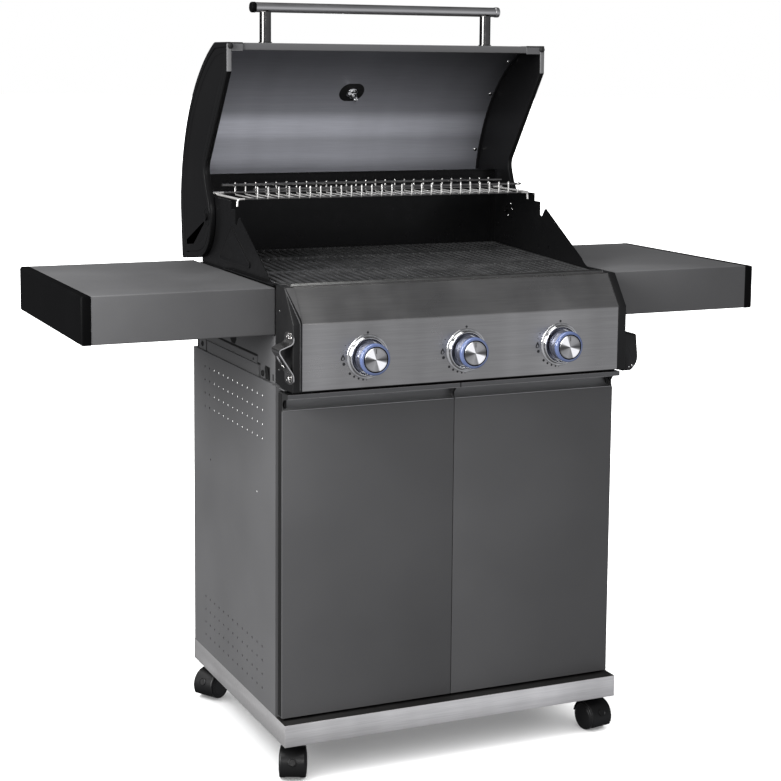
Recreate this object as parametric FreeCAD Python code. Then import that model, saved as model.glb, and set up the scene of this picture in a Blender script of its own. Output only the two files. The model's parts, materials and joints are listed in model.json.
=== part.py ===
"""Three-burner gas barbecue grill on a cabinet with casters. Millimetres, +Z up, front faces -Y.

Everything is laid out from the front face of the base tray (y = 0) and the floor (z = 0).
save() moves each piece so that the origin is under the middle of the whole grill's depth.
"""
import FreeCAD, Part
import math
import os

V = FreeCAD.Vector

# ---- Driving dimensions ------------------------------------------------------------------
DEPTH_CENTRE = 263.9        # middle of the depth, from the base tray's front face
SHEET = 1.2                 # sheet steel thickness
FIT = 0.05                  # radial clearance of a running fit

# Base tray and casters
BASE_HALF_WIDTH = 323.7
BASE_DEPTH = 500.0
BASE_BOTTOM = 65.0
BASE_TOP = 103.8
CASTER_X = 293.0
CASTER_Y = (40.0, 460.0)
CASTER_TRAIL = 12.0
CASTER_SWIVEL = {"front_left": -24.0, "front_right": 10.0, "rear_left": -59.0, "rear_right": 25.0}
WHEEL_RADIUS = 25.0
WHEEL_WIDTH = 12.5
WHEEL_GAP = 0.8               # between the hood's web and each wheel
HOOD_HALF_WIDTH = 11.0
HOOD_COVER_HALF = 22.0
HOOD_BOTTOM = 9.0
CHANNEL_BOTTOM = 70.0

# Cabinet
SIDE_FRONT = 47.0
SIDE_BACK = 496.0
SIDE_TOP = 679.6
FLANGE = 20.0
REAR_FLANGE = 36.0
VENT_RADIUS = 2.5
VENT_COLUMNS = 13
VENT_ROWS = 4
VENT_PITCH_Y = 26.1
VENT_PITCH_Z = 25.0
VENT_FIRST_Y = 113.5
VENT_TOP_ROWS = (652.5, 208.2)
BACK_PANEL_TOP = 345.0
REAR_RAIL_BOTTOM = 640.0
REAR_RAIL_TOP = 662.0

# Doors
DOOR_HALF_WIDTH = 319.5
DOOR_GAP = 1.5
DOOR_FRONT = 25.0
DOOR_BACK = 43.6
DOOR_BOTTOM = 107.3
DOOR_TOP = 640.0
GRIP_TOP = 672.5
GRIP_FRONT = 0.0
GRIP_LIP_BOTTOM = 664.3
DOOR_PIN_X = 312.5
DOOR_PIN_Y = 33.5
DOOR_PIN_RADIUS = 3.0

# Control panel
PANEL_HALF_WIDTH = 301.2
PANEL_END_OUTER = 318.0
PANEL_FRONT = -18.6
PANEL_BOTTOM = 679.8
PANEL_BEND = 792.6
PANEL_SLOPE_BACK = 22.4
PANEL_TOP = 848.1
KNOB_Z = 732.1
KNOB_X = (-184.0, 0.0, 184.0)
KNOB_NAMES = ("left", "middle", "right")
KNOB_FRONT = -55.2
KNOB_RADIUS = 27.0            # over the lit ring
KNOB_BODY_RADIUS = 26.0
KNOB_CAP_RADIUS = 20.0
KNOB_CLEARANCE = 4.6          # behind a knob that is pushed in
RING_FRONT = -53.6
RING_BACK = -46.6
BEZEL_RADIUS = 35.0
BEZEL_DISH_RADIUS = 30.3
BEZEL_HEIGHT = 7.0
STEM_RADIUS = 4.0
PUSH_TRAVEL = 3.0

# Firebox
FIREBOX_OUTER = 311.0
FIREBOX_FRONT = 63.0
FIREBOX_BACK = 481.5
FIREBOX_BOTTOM = 700.0
FIREBOX_TOP = 972.0
SHROUD_TOP = 1010.0
BURNER_Z = 765.0
BURNER_RADIUS = 13.0
TAMER_Z = 795.0
GRATE_FRONT = 72.0
GRATE_BACK = 477.0
GRATE_TOP = 846.0           # at the front edge; the grates rise towards the back
GRATE_TILT = 2.4
GRATE_SEAM_X = 98.0
GRATE_THICKNESS = 9.0
GRATE_BAR = 7.0
GRATE_PITCH = 14.5
GRATE_RIBS = (216.0, 372.0)

# Warming rack
RACK_FRONT = 297.0
RACK_BACK = 424.0
RACK_Z = 975.0
RACK_LEFT = -303.0             # the rack lies a little to the left in its seats
RACK_RIGHT = 288.0
RACK_RAIL_HALF = 272.0
RACK_RAIL_RISE = 17.0
RACK_LEG = 13.0
RACK_WIRE = 2.0
RACK_CROSS_WIRES = 27

# Lid, drawn in its open position
LID_OUTER = 321.0
LID_INNER = 312.0
PIVOT_Y = 426.0
PIVOT_Z = 933.5
PIN_RADIUS = 4.0
LID_FRONT = 304.0
LID_TOP = 1255.0
HANDLE_Y = 369.0
HANDLE_Z = 1319.0
HANDLE_RADIUS = 9.5
HANDLE_HALF = 245.0
HANDLE_CAP = 9.0
POST_X = 225.0
POST_RADIUS = 10.5

# Side shelves
SHELF_INNER = 318.0
SHELF_OUTER = 632.2
CAP_OUTER = 650.0
OPENER_WIDTH = 42.0
OPENER_Y = -1.0
OPENER_REACH = 24.0
OPENER_SHEET = 1.8
SHELF_FRONT = 66.7
SHELF_BACK = 515.0
SHELF_BOTTOM = 763.7
SHELF_TOP = 843.9
CAP_LIP = 0.5                  # the caps stand this far proud, except on top


# ---- Helpers -----------------------------------------------------------------------------
def save(name, shape):
    """Write one node's STEP file in the frame whose origin is mid-depth on the floor."""
    moved = shape.copy()
    moved.translate(V(0, -DEPTH_CENTRE, 0))
    if not moved.isValid():
        print("invalid shape:", name)
    moved.exportStep("parts/" + name + ".step")


def box(x0, x1, y0, y1, z0, z1):
    low_x, low_y, low_z = min(x0, x1), min(y0, y1), min(z0, z1)
    size = (abs(x1 - x0), abs(y1 - y0), abs(z1 - z0))
    return Part.makeBox(size[0], size[1], size[2], V(low_x, low_y, low_z))


def rod(start, end, radius):
    """Round bar between two points."""
    start, end = V(*start), V(*end)
    along = end - start
    return Part.makeCylinder(radius, along.Length, start, along)


def tube(start, end, outer, inner):
    return rod(start, end, outer).cut(rod(start, end, inner))


def join(shapes):
    first = shapes[0]
    if len(shapes) == 1:
        return first
    return first.multiFuse(shapes[1:]).removeSplitter()


def group(shapes):
    """Separate solids kept in one node."""
    return Part.makeCompound(shapes)


def outline_yz(start, steps, x):
    """Closed wire in the plane x. A step is (y, z), or (y, z, y, z): an arc by a middle point."""
    edges = []
    here = V(x, start[0], start[1])
    for step in steps:
        there = V(x, step[-2], step[-1])
        if len(step) == 2:
            edges.append(Part.LineSegment(here, there).toShape())
        else:
            middle = V(x, step[0], step[1])
            edges.append(Part.Arc(here, middle, there).toShape())
        here = there
    home = V(x, start[0], start[1])
    if (home - here).Length > 0.01:
        edges.append(Part.LineSegment(here, home).toShape())
    return Part.Wire(edges)


def slab_yz(start, steps, x0, x1):
    face = Part.Face(outline_yz(start, steps, x0))
    return face.extrude(V(x1 - x0, 0, 0))


def mirrored(shape):
    return shape.mirror(V(0, 0, 0), V(1, 0, 0))


def inset_pocket(wire, inset, x0, x1):
    """Prism inside an outline, smaller all round by inset."""
    smaller = wire.makeOffset2D(-inset, 0)
    face = Part.Face(smaller)
    prism = face.extrude(V(x1 - x0, 0, 0))
    prism.translate(V(x0 - wire.BoundBox.XMin, 0, 0))
    return prism


# ---- Base --------------------------------------------------------------------------------
def base_tray():
    outer = box(-BASE_HALF_WIDTH, BASE_HALF_WIDTH, 0, BASE_DEPTH, BASE_BOTTOM, BASE_TOP)
    inner = box(-BASE_HALF_WIDTH + SHEET, BASE_HALF_WIDTH - SHEET, SHEET, BASE_DEPTH - SHEET,
                BASE_BOTTOM - 1, BASE_TOP - SHEET)
    tray = outer.cut(inner)
    lip = 12.0
    rim = box(-BASE_HALF_WIDTH, BASE_HALF_WIDTH, 0, BASE_DEPTH, BASE_BOTTOM, BASE_BOTTOM + SHEET)
    hole = box(-BASE_HALF_WIDTH + lip, BASE_HALF_WIDTH - lip, lip, BASE_DEPTH - lip,
               BASE_BOTTOM - 1, BASE_BOTTOM + SHEET + 1)
    tray = join([tray, rim.cut(hole)])
    return tray


def base_cross_channels():
    """One channel across the tray over each pair of casters."""
    half_depth = 20.0
    half_width = BASE_HALF_WIDTH - SHEET - 0.3
    channels = []
    for y in CASTER_Y:
        outer = box(-half_width, half_width, y - half_depth, y + half_depth,
                    CHANNEL_BOTTOM, BASE_TOP - SHEET)
        inner = box(-half_width - 1, half_width + 1, y - half_depth + 2, y + half_depth - 2,
                    CHANNEL_BOTTOM + 2, BASE_TOP)
        channel = outer.cut(inner)
        for x in (-CASTER_X, CASTER_X):
            channel = channel.cut(rod((x, y, CHANNEL_BOTTOM - 1), (x, y, CHANNEL_BOTTOM + 4), 5.0))
        channels.append(channel)
    return group(channels)


# ---- Casters -----------------------------------------------------------------------------
AXLE_RADIUS = 3.0
STEM_COLLAR_Z = 64.0


def caster_stem(x, y):
    thread = rod((x, y, STEM_COLLAR_Z), (x, y, 92.0), 5.0)
    collar = rod((x, y, STEM_COLLAR_Z), (x, y, CHANNEL_BOTTOM), 9.0)
    pivot = rod((x, y, 36.0), (x, y, STEM_COLLAR_Z), 4.0)
    return join([thread, collar, pivot])


def swivelled(shape, name, x, y):
    """Shape turned about its caster's stem to the way that caster happens to point."""
    turned = shape.copy()
    turned.rotate(V(x, y, 0), V(0, 0, 1), CASTER_SWIVEL[name])
    return turned


def caster_hood(x, y):
    """Web between the wheels, a cover over them that comes down in front, and the stem's socket."""
    axle_y = y - CASTER_TRAIL
    outer_radius = WHEEL_RADIUS + 4.0
    inner_radius = WHEEL_RADIUS + 1.5

    def drum(half, radius):
        return rod((x - half, axle_y, WHEEL_RADIUS), (x + half, axle_y, WHEEL_RADIUS), radius)

    below = box(x - 30, x + 30, axle_y - 40, axle_y + 40, -10, HOOD_BOTTOM)
    behind = box(x - 30, x + 30, axle_y, axle_y + 40, -10, WHEEL_RADIUS + 4)
    web = drum(HOOD_HALF_WIDTH, outer_radius)
    cover = drum(HOOD_COVER_HALF, outer_radius).cut(drum(30, inner_radius)).cut(behind)
    socket = rod((x, y, 34.0), (x, y, STEM_COLLAR_Z - 0.6), 9.0)
    hood = join([web, cover, socket]).cut(below)
    for side in (-1, 1):
        room = rod((x + side * HOOD_HALF_WIDTH, axle_y, WHEEL_RADIUS),
                   (x + side * 30, axle_y, WHEEL_RADIUS), inner_radius)
        hood = hood.cut(room)
    hood = hood.cut(rod((x, y, 33.0), (x, y, 70.0), 4.0 + FIT))
    return hood.cut(drum(30, AXLE_RADIUS + FIT))


def caster_wheels(x, y):
    axle_y = y - CASTER_TRAIL
    wheels = []
    inner = HOOD_HALF_WIDTH + WHEEL_GAP
    for side in (-1, 1):
        start = x + side * inner
        end = x + side * (inner + WHEEL_WIDTH)
        wheel = rod((start, axle_y, WHEEL_RADIUS), (end, axle_y, WHEEL_RADIUS), WHEEL_RADIUS)
        rim = [edge for edge in wheel.Edges if edge.Curve.TypeId == "Part::GeomCircle"]
        wheels.append(wheel.makeFillet(3.0, rim))
    axle = rod((x - inner - 2, axle_y, WHEEL_RADIUS), (x + inner + 2, axle_y, WHEEL_RADIUS),
               AXLE_RADIUS)
    return join(wheels + [axle])


# ---- Cabinet -----------------------------------------------------------------------------
def cabinet_side():
    """Left side panel with front, rear and top flanges and two blocks of vent holes."""
    outer_x = -BASE_HALF_WIDTH
    panel = box(outer_x, outer_x + SHEET, SIDE_FRONT, SIDE_BACK, BASE_TOP, SIDE_TOP)
    front = box(outer_x, outer_x + FLANGE, SIDE_FRONT, SIDE_FRONT + SHEET, BASE_TOP, SIDE_TOP)
    back = box(outer_x, outer_x + REAR_FLANGE, SIDE_BACK - SHEET, SIDE_BACK, BASE_TOP, SIDE_TOP)
    top = box(outer_x, outer_x + 12.0, SIDE_FRONT, SIDE_BACK, SIDE_TOP - SHEET, SIDE_TOP)
    side = join([panel, front, back, top])
    holes = []
    for top_row in VENT_TOP_ROWS:
        for row in range(VENT_ROWS):
            for column in range(VENT_COLUMNS):
                y = VENT_FIRST_Y + column * VENT_PITCH_Y
                z = top_row - row * VENT_PITCH_Z
                holes.append(rod((outer_x - 1, y, z), (outer_x + 3, y, z), VENT_RADIUS))
    for y, z in ((396.0, 480.0), (141.6, 478.0)):
        holes.append(rod((outer_x - 1, y, z), (outer_x + 3, y, z), VENT_RADIUS))
    return side.cut(group(holes))


def cabinet_back_panel():
    """Lower half of the back; the upper half is left open for the hose and the cylinder."""
    half = BASE_HALF_WIDTH - SHEET - 0.3
    y = SIDE_BACK - SHEET
    panel = box(-half, half, y - SHEET, y, BASE_TOP, BACK_PANEL_TOP)
    lip = box(-half, half, y - 15.0, y, BACK_PANEL_TOP - SHEET, BACK_PANEL_TOP)
    return join([panel, lip])


def cabinet_cross_rails():
    """Front rail above the doors, which carries the upper hinge pins, and the rear rail."""
    half = BASE_HALF_WIDTH - SHEET - 0.3
    shelf = box(-half, half, 24.0, 58.0, 675.0, 677.0)
    web = box(-half, half, 56.0, 58.0, 650.0, 677.0)
    front = join([shelf, web])
    for side in (-1, 1):
        corner = box(side * 317.0, side * 330.0, 20.0, 46.7, 670.0, 680.0)
        notch = box(side * 303.4, side * 330.0, 46.5, 48.5, 670.0, 680.0)
        x = side * DOOR_PIN_X
        bore = rod((x, DOOR_PIN_Y, 670), (x, DOOR_PIN_Y, 680), DOOR_PIN_RADIUS)
        front = front.cut(corner).cut(notch).cut(bore)
    y = SIDE_BACK - SHEET
    upright = box(-half, half, y - SHEET, y, REAR_RAIL_BOTTOM, REAR_RAIL_TOP)
    flange = box(-half, half, y - 20.0, y, REAR_RAIL_TOP - SHEET, REAR_RAIL_TOP)
    return group([front, join([upright, flange])])


def support_plates():
    """Upper side plates between the cabinet and the firebox, one each side."""
    x0 = -PANEL_END_OUTER + 2.6
    plate = box(x0, x0 + SHEET, 64.5, SIDE_BACK, SIDE_TOP, SHELF_TOP - 4)
    foot = box(-BASE_HALF_WIDTH, x0 + SHEET, 64.5, SIDE_BACK, SIDE_TOP, SIDE_TOP + SHEET)
    left = join([plate, foot])
    return group([left, mirrored(left)])


# ---- Doors -------------------------------------------------------------------------------
def door():
    """Left door: folded front tray closed by a rear skin that is carried up behind the grip."""
    x0 = -DOOR_HALF_WIDTH
    x1 = -DOOR_GAP / 2
    outer = box(x0, x1, DOOR_FRONT, DOOR_BACK, DOOR_BOTTOM, DOOR_TOP)
    inner = box(x0 + SHEET, x1 - SHEET, DOOR_FRONT + SHEET, DOOR_BACK + 1,
                DOOR_BOTTOM + SHEET, DOOR_TOP - SHEET)
    back = box(x0, x1, DOOR_BACK - SHEET, DOOR_BACK, DOOR_BOTTOM, GRIP_TOP - SHEET)
    leaf = join([outer.cut(inner), back])
    bore = rod((-DOOR_PIN_X, DOOR_PIN_Y, 90), (-DOOR_PIN_X, DOOR_PIN_Y, 660),
               DOOR_PIN_RADIUS + FIT)
    return leaf.cut(bore)


def door_grip():
    """Pull profile along the door's top: web forward from the rear skin, lip hanging down."""
    x0 = -DOOR_HALF_WIDTH
    x1 = -DOOR_GAP / 2
    web = box(x0, x1, GRIP_FRONT, DOOR_BACK + SHEET, GRIP_TOP - SHEET, GRIP_TOP)
    lip = box(x0, x1, GRIP_FRONT, GRIP_FRONT + SHEET, GRIP_LIP_BOTTOM, GRIP_TOP)
    leg = box(x0, x1, DOOR_BACK, DOOR_BACK + SHEET, GRIP_TOP - 18.0, GRIP_TOP)
    grip = join([web, lip, leg])
    bore = rod((-DOOR_PIN_X, DOOR_PIN_Y, 660), (-DOOR_PIN_X, DOOR_PIN_Y, 680),
               DOOR_PIN_RADIUS + FIT)
    return grip.cut(bore)


def door_magnets():
    magnets = []
    for side in (-1, 1):
        x = side * 40.0
        magnets.append(box(x - 18, x + 18, 46.2, 56.0, 655.0, 668.0))
    return group(magnets)


def hinge_pins():
    """Door pins, bottom and top, and the two lid pivot bolts."""
    pins = []
    for side in (-1, 1):
        x = side * DOOR_PIN_X
        pins.append(rod((x, DOOR_PIN_Y, BASE_TOP), (x, DOOR_PIN_Y, 122.0), DOOR_PIN_RADIUS))
        pins.append(rod((x, DOOR_PIN_Y, 628.0), (x, DOOR_PIN_Y, 677.0), DOOR_PIN_RADIUS))
    for side in (-1, 1):
        shank = rod((side * 307.0, PIVOT_Y, PIVOT_Z), (side * (LID_OUTER + 0.4), PIVOT_Y, PIVOT_Z),
                    PIN_RADIUS)
        nut = rod((side * 303.0, PIVOT_Y, PIVOT_Z), (side * 309.4, PIVOT_Y, PIVOT_Z), 6.5)
        head = rod((side * (LID_OUTER + 0.4), PIVOT_Y, PIVOT_Z),
                   (side * (LID_OUTER + 3.0), PIVOT_Y, PIVOT_Z), 7.0)
        pins.append(join([shank, nut, head]))
    return group(pins)


# ---- Control panel -----------------------------------------------------------------------
def control_panel():
    """Folded stainless fascia: bottom return, face, slope and a short top return."""
    face_bottom = PANEL_BOTTOM
    start = (PANEL_FRONT, face_bottom)
    outer = [(PANEL_FRONT, PANEL_BEND), (PANEL_SLOPE_BACK, PANEL_TOP),
             (PANEL_SLOPE_BACK + 16, PANEL_TOP), (PANEL_SLOPE_BACK + 16, PANEL_TOP - SHEET),
             (PANEL_SLOPE_BACK + 0.6, PANEL_TOP - SHEET), (PANEL_FRONT + SHEET, PANEL_BEND - 0.5),
             (PANEL_FRONT + SHEET, face_bottom + SHEET), (40.0, face_bottom + SHEET),
             (40.0, face_bottom)]
    panel = slab_yz(start, outer, -PANEL_HALF_WIDTH, PANEL_HALF_WIDTH)
    for x in KNOB_X:
        panel = panel.cut(rod((x, PANEL_FRONT - 5, KNOB_Z), (x, PANEL_FRONT + 5, KNOB_Z), 11.0))
    return panel


def panel_end_steps():
    start = (PANEL_FRONT - 0.8, PANEL_BOTTOM - 1.0)
    steps = [(PANEL_FRONT - 0.8, PANEL_BEND + 0.4), (PANEL_SLOPE_BACK - 0.4, PANEL_TOP + 1.2),
             (62.0, PANEL_TOP + 1.2), (62.0, 683.0), (46.5, 680.6), (34.0, 677.6)]
    return start, steps


def panel_ends():
    """Moulded end covers of the control panel."""
    start, steps = panel_end_steps()
    left = slab_yz(start, steps, -PANEL_END_OUTER, -PANEL_HALF_WIDTH)
    wire = outline_yz(start, steps, -PANEL_END_OUTER)
    pocket = inset_pocket(wire, 3.0, -PANEL_END_OUTER + 2.5, -PANEL_HALF_WIDTH + 1)
    left = left.cut(pocket)
    return group([left, mirrored(left)])


def knob_bezels():
    """Chromed dish behind each knob."""
    bezels = []
    for x in KNOB_X:
        base = Part.makeCone(BEZEL_RADIUS, BEZEL_RADIUS - 2.0, BEZEL_HEIGHT,
                             V(x, PANEL_FRONT, KNOB_Z), V(0, -1, 0))
        dish = rod((x, PANEL_FRONT - 3.0, KNOB_Z), (x, PANEL_FRONT - 12, KNOB_Z), BEZEL_DISH_RADIUS)
        bore = rod((x, PANEL_FRONT + 1, KNOB_Z), (x, PANEL_FRONT - 12, KNOB_Z), 9.0)
        bezels.append(base.cut(dish).cut(bore))
    return group(bezels)


KNOB_BACK = PANEL_FRONT - KNOB_CLEARANCE - PUSH_TRAVEL


def knob(x):
    """Turned knob: body, lit ring and cap, bored for the valve stem."""
    body = Part.makeCone(KNOB_BODY_RADIUS, KNOB_BODY_RADIUS - 0.6, KNOB_BACK - RING_BACK,
                         V(x, KNOB_BACK, KNOB_Z), V(0, -1, 0))
    ring = rod((x, RING_BACK, KNOB_Z), (x, RING_FRONT, KNOB_Z), KNOB_RADIUS)
    cap = rod((x, RING_FRONT, KNOB_Z), (x, KNOB_FRONT, KNOB_Z), KNOB_CAP_RADIUS)
    bore = rod((x, KNOB_BACK + 1, KNOB_Z), (x, KNOB_BACK - 15.0, KNOB_Z), STEM_RADIUS + FIT)
    return join([body, ring, cap]).cut(bore)


def valve_stem(x):
    tip = KNOB_BACK - 14.0
    return join([rod((x, tip, KNOB_Z), (x, 16.0, KNOB_Z), STEM_RADIUS),
                 rod((x, 0.0, KNOB_Z), (x, 2.0, KNOB_Z), 6.5)])


# ---- Gas train ---------------------------------------------------------------------------
MANIFOLD_Y = 30.0
VALVE_FRONT = PUSH_TRAVEL + 3.0


def gas_valves():
    valves = []
    for x in KNOB_X:
        body = box(x - 11, x + 11, VALVE_FRONT, 42.0, KNOB_Z - 10, KNOB_Z + 14)
        bore = rod((x, VALVE_FRONT - 1, KNOB_Z), (x, 20.0 + PUSH_TRAVEL, KNOB_Z), STEM_RADIUS + FIT)
        nozzle = rod((x, 42.0, KNOB_Z + 2), (x, 58.0, KNOB_Z + 2), 5.0)
        valves.append(join([body.cut(bore), nozzle]))
    return group(valves)


def gas_manifold():
    """Supply pipe under the valves with a capped end and a threaded inlet."""
    z = KNOB_Z - 20.0
    pipe = tube((-240, MANIFOLD_Y, z), (270, MANIFOLD_Y, z), 9.0, 7.0)
    plug = rod((-246, MANIFOLD_Y, z), (-238, MANIFOLD_Y, z), 9.0)
    inlet = tube((268, MANIFOLD_Y, z), (290, MANIFOLD_Y, z), 7.5, 5.0)
    shoulder = tube((266, MANIFOLD_Y, z), (270, MANIFOLD_Y, z), 9.0, 5.0)
    return join([pipe, plug, shoulder, inlet])


def burners():
    """Straight stamped tube burners: venturi at the front, ports along both sides."""
    tubes = []
    for x in KNOB_X:
        z = BURNER_Z
        straight = tube((x, 72.0, z), (x, 450.0, z), BURNER_RADIUS, BURNER_RADIUS - 1.2)
        cap = rod((x, 448.8, z), (x, 450.0, z), BURNER_RADIUS)
        mouth = tube((x, 66.0, z), (x, 90.0, z), BURNER_RADIUS + 4, BURNER_RADIUS - 1.2)
        tab = box(x - 12, x + 12, 450.0, 479.6, z - 1, z + 1)
        burner = join([straight, cap, mouth, tab])
        ports = []
        for index in range(19):
            y = 130 + 16.0 * index
            ports.append(box(x - 30, x + 30, y, y + 3.0, z + 3, z + 5))
        tubes.append(burner.cut(group(ports)))
    return group(tubes)


def flame_tamers():
    """Folded covers over the burners."""
    tamers = []
    for x in KNOB_X:
        half = 52.0
        drop = 24.0
        points = [V(x - half, 68, TAMER_Z), V(x, 68, TAMER_Z + drop), V(x + half, 68, TAMER_Z),
                  V(x + half, 68, TAMER_Z - SHEET), V(x, 68, TAMER_Z + drop - 1.5),
                  V(x - half, 68, TAMER_Z - SHEET)]
        face = Part.Face(Part.makePolygon(points + [points[0]]))
        cover = face.extrude(V(0, 408, 0))
        slots = []
        for index in range(6):
            y = 105 + 62 * index
            slots.append(box(x - 38, x - 24, y, y + 30, TAMER_Z - 10, TAMER_Z + 40))
            slots.append(box(x + 24, x + 38, y, y + 30, TAMER_Z - 10, TAMER_Z + 40))
        tamers.append(cover.cut(group(slots)))
    return group(tamers)


def igniters():
    """Ceramic spark electrode beside each burner, on the front wall."""
    electrodes = []
    for x in KNOB_X:
        y0 = FIREBOX_FRONT + SHEET
        rod_x = x + 24.0
        body = rod((rod_x, y0, BURNER_Z + 8), (rod_x, y0 + 40, BURNER_Z + 8), 4.0)
        tip = rod((rod_x, y0 + 40, BURNER_Z + 8), (rod_x, y0 + 52, BURNER_Z + 8), 1.5)
        electrodes.append(join([body, tip]))
    return group(electrodes)


# ---- Firebox -----------------------------------------------------------------------------
def firebox_side():
    """Left side plate: sloping front edge, spit notch, stepped top and a rear upright."""
    x0 = -FIREBOX_OUTER
    start = (FIREBOX_FRONT, 849.0)
    steps = [(88.0, 849.5), (112.0, 852.0, 129.0, 864.0), (262.0, 942.0), (268.0, 944.5, 274.0, 940.0),
             (279.0, 934.0), (285.0, 929.5, 291.0, 934.0), (291.0, 957.0), (314.0, 957.0),
             (314.0, 972.0), (FIREBOX_BACK - 1.5, 972.0), (FIREBOX_BACK - 1.5, FIREBOX_BOTTOM),
             (FIREBOX_FRONT, FIREBOX_BOTTOM)]
    plate = slab_yz(start, steps, x0, x0 + 1.5)
    bore = rod((x0 - 1, PIVOT_Y, PIVOT_Z), (x0 + 3, PIVOT_Y, PIVOT_Z), PIN_RADIUS)
    ledge = box(x0, x0 + 1.5, 100.0, FIREBOX_BACK - 1.5, FIREBOX_BOTTOM, FIREBOX_BOTTOM + 2)
    rest = box(-LID_OUTER + 0.5, x0 + 1.0, 66.0, 330.0, 847.3, 848.8)
    rear_rest = box(-SHELF_INNER + 0.4, x0 + 1.0, 331.0, FIREBOX_BACK - 1.5, 842.0, 843.5)
    plate = join([plate, ledge, rest, rear_rest]).cut(bore)
    holes = []
    for y in (253.0, 293.0):
        holes.append(rod((x0 - 1, y, 871.0), (x0 + 3, y, 871.0), 3.5))
    return plate.cut(group(holes))


def firebox_back():
    half = FIREBOX_OUTER - 1.5
    y1 = FIREBOX_BACK
    wall = box(-half, half, y1 - 1.5, y1, FIREBOX_BOTTOM, SHROUD_TOP)
    ledge = box(-half + 2, half - 2, y1 - 12.0, y1, 846.0, 847.5)
    shroud = box(-half, half, y1 - 9.0, y1, SHROUD_TOP - 1.5, SHROUD_TOP)
    back = join([wall, ledge, shroud])
    outlets = []
    for index in range(14):
        x = -260 + 40 * index
        outlets.append(box(x - 15, x + 15, y1 - 3, y1 + 3, 720, 726))
    return back.cut(group(outlets))


def firebox_front():
    """Front wall with burner mouths and the rolled stainless lip over the control panel."""
    half = FIREBOX_OUTER - 1.5
    y0 = FIREBOX_FRONT
    wall = box(-half, half, y0, y0 + SHEET, FIREBOX_BOTTOM, 849.5)
    ledge = box(-half + 2, half - 2, y0, y0 + 14.0, 831.5, 833.0)
    lip = PANEL_HALF_WIDTH - 0.4
    top = box(-lip, lip, 38.5, y0 + SHEET, 848.3, 849.5)
    roll = rod((-lip, 38.5, 849.6), (lip, 38.5, 849.6), 3.0)
    bed = box(-lip - 1, lip + 1, 30.0, 45.0, 840.0, 848.3)
    front = join([wall, ledge, top, roll.cut(bed)])
    for x in KNOB_X:
        front = front.cut(rod((x, y0 - 2, KNOB_Z + 2), (x, y0 + 4, KNOB_Z + 2), 9.0))
        front = front.cut(rod((x, y0 - 2, BURNER_Z), (x, y0 + 4, BURNER_Z), 11.0))
    return front


GREASE_SLOT = 62.0


def firebox_bottom():
    """Two sheets falling to a slot in the middle, with the grease tray's runners below."""
    half = FIREBOX_OUTER - 2.0
    y0 = FIREBOX_FRONT + SHEET + 0.3
    y1 = FIREBOX_BACK - 1.8
    points = [V(-half, y0, 716.0), V(-GREASE_SLOT, y0, 698.0), V(-GREASE_SLOT, y0, 692.0),
              V(-GREASE_SLOT - SHEET, y0, 692.0), V(-GREASE_SLOT - SHEET, y0, 696.6),
              V(-half, y0, 714.6)]
    face = Part.Face(Part.makePolygon(points + [points[0]]))
    slope = face.extrude(V(0, y1 - y0, 0))
    runner_points = [V(-GREASE_SLOT - 42, y0, 711.0), V(-GREASE_SLOT - 42, y0, 664.0),
                     V(-GREASE_SLOT - 30, y0, 664.0), V(-GREASE_SLOT - 30, y0, 665.5),
                     V(-GREASE_SLOT - 40.5, y0, 665.5), V(-GREASE_SLOT - 40.5, y0, 711.0)]
    runner = Part.Face(Part.makePolygon(runner_points + [runner_points[0]])).extrude(V(0, y1 - y0, 0))
    cut_above = box(-half - 5, 0, y0 - 1, y1 + 1, 703.0, 760.0)
    runner = runner.cut(cut_above)
    left = join([slope, runner])
    return group([left, mirrored(left)])


def grease_tray():
    """Shallow tray on the runners, with a pull at the back."""
    half = GREASE_SLOT + 39.0
    outer = box(-half, half, 75.0, 490.0, 665.9, 684.0)
    inner = box(-half + 1.5, half - 1.5, 76.5, 488.5, 667.4, 700.0)
    pull = box(-30, 30, 488.5, 506.0, 682.8, 684.0)
    return join([outer.cut(inner), pull])


# ---- Cooking surfaces --------------------------------------------------------------------
def grate(x0, x1):
    """Cast-iron grate: bars front to back on two cross ribs, inside a frame."""
    z1 = GRATE_TOP
    z0 = GRATE_TOP - GRATE_THICKNESS
    parts = [box(x0, x1, GRATE_FRONT, GRATE_FRONT + GRATE_BAR, z0, z1),
             box(x0, x1, GRATE_BACK - GRATE_BAR, GRATE_BACK, z0, z1)]
    span = x1 - x0 - GRATE_BAR
    count = int(round(span / GRATE_PITCH))
    step = span / count
    for index in range(count + 1):
        x = x0 + index * step
        parts.append(box(x, x + GRATE_BAR, GRATE_FRONT, GRATE_BACK, z0, z1))
    for y in GRATE_RIBS:
        parts.append(box(x0, x1, y - GRATE_BAR, y + GRATE_BAR, z0 - 3, z1))
    whole = join(parts)
    whole.rotate(V(0, GRATE_FRONT, GRATE_TOP), V(1, 0, 0), GRATE_TILT)
    return whole


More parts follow.
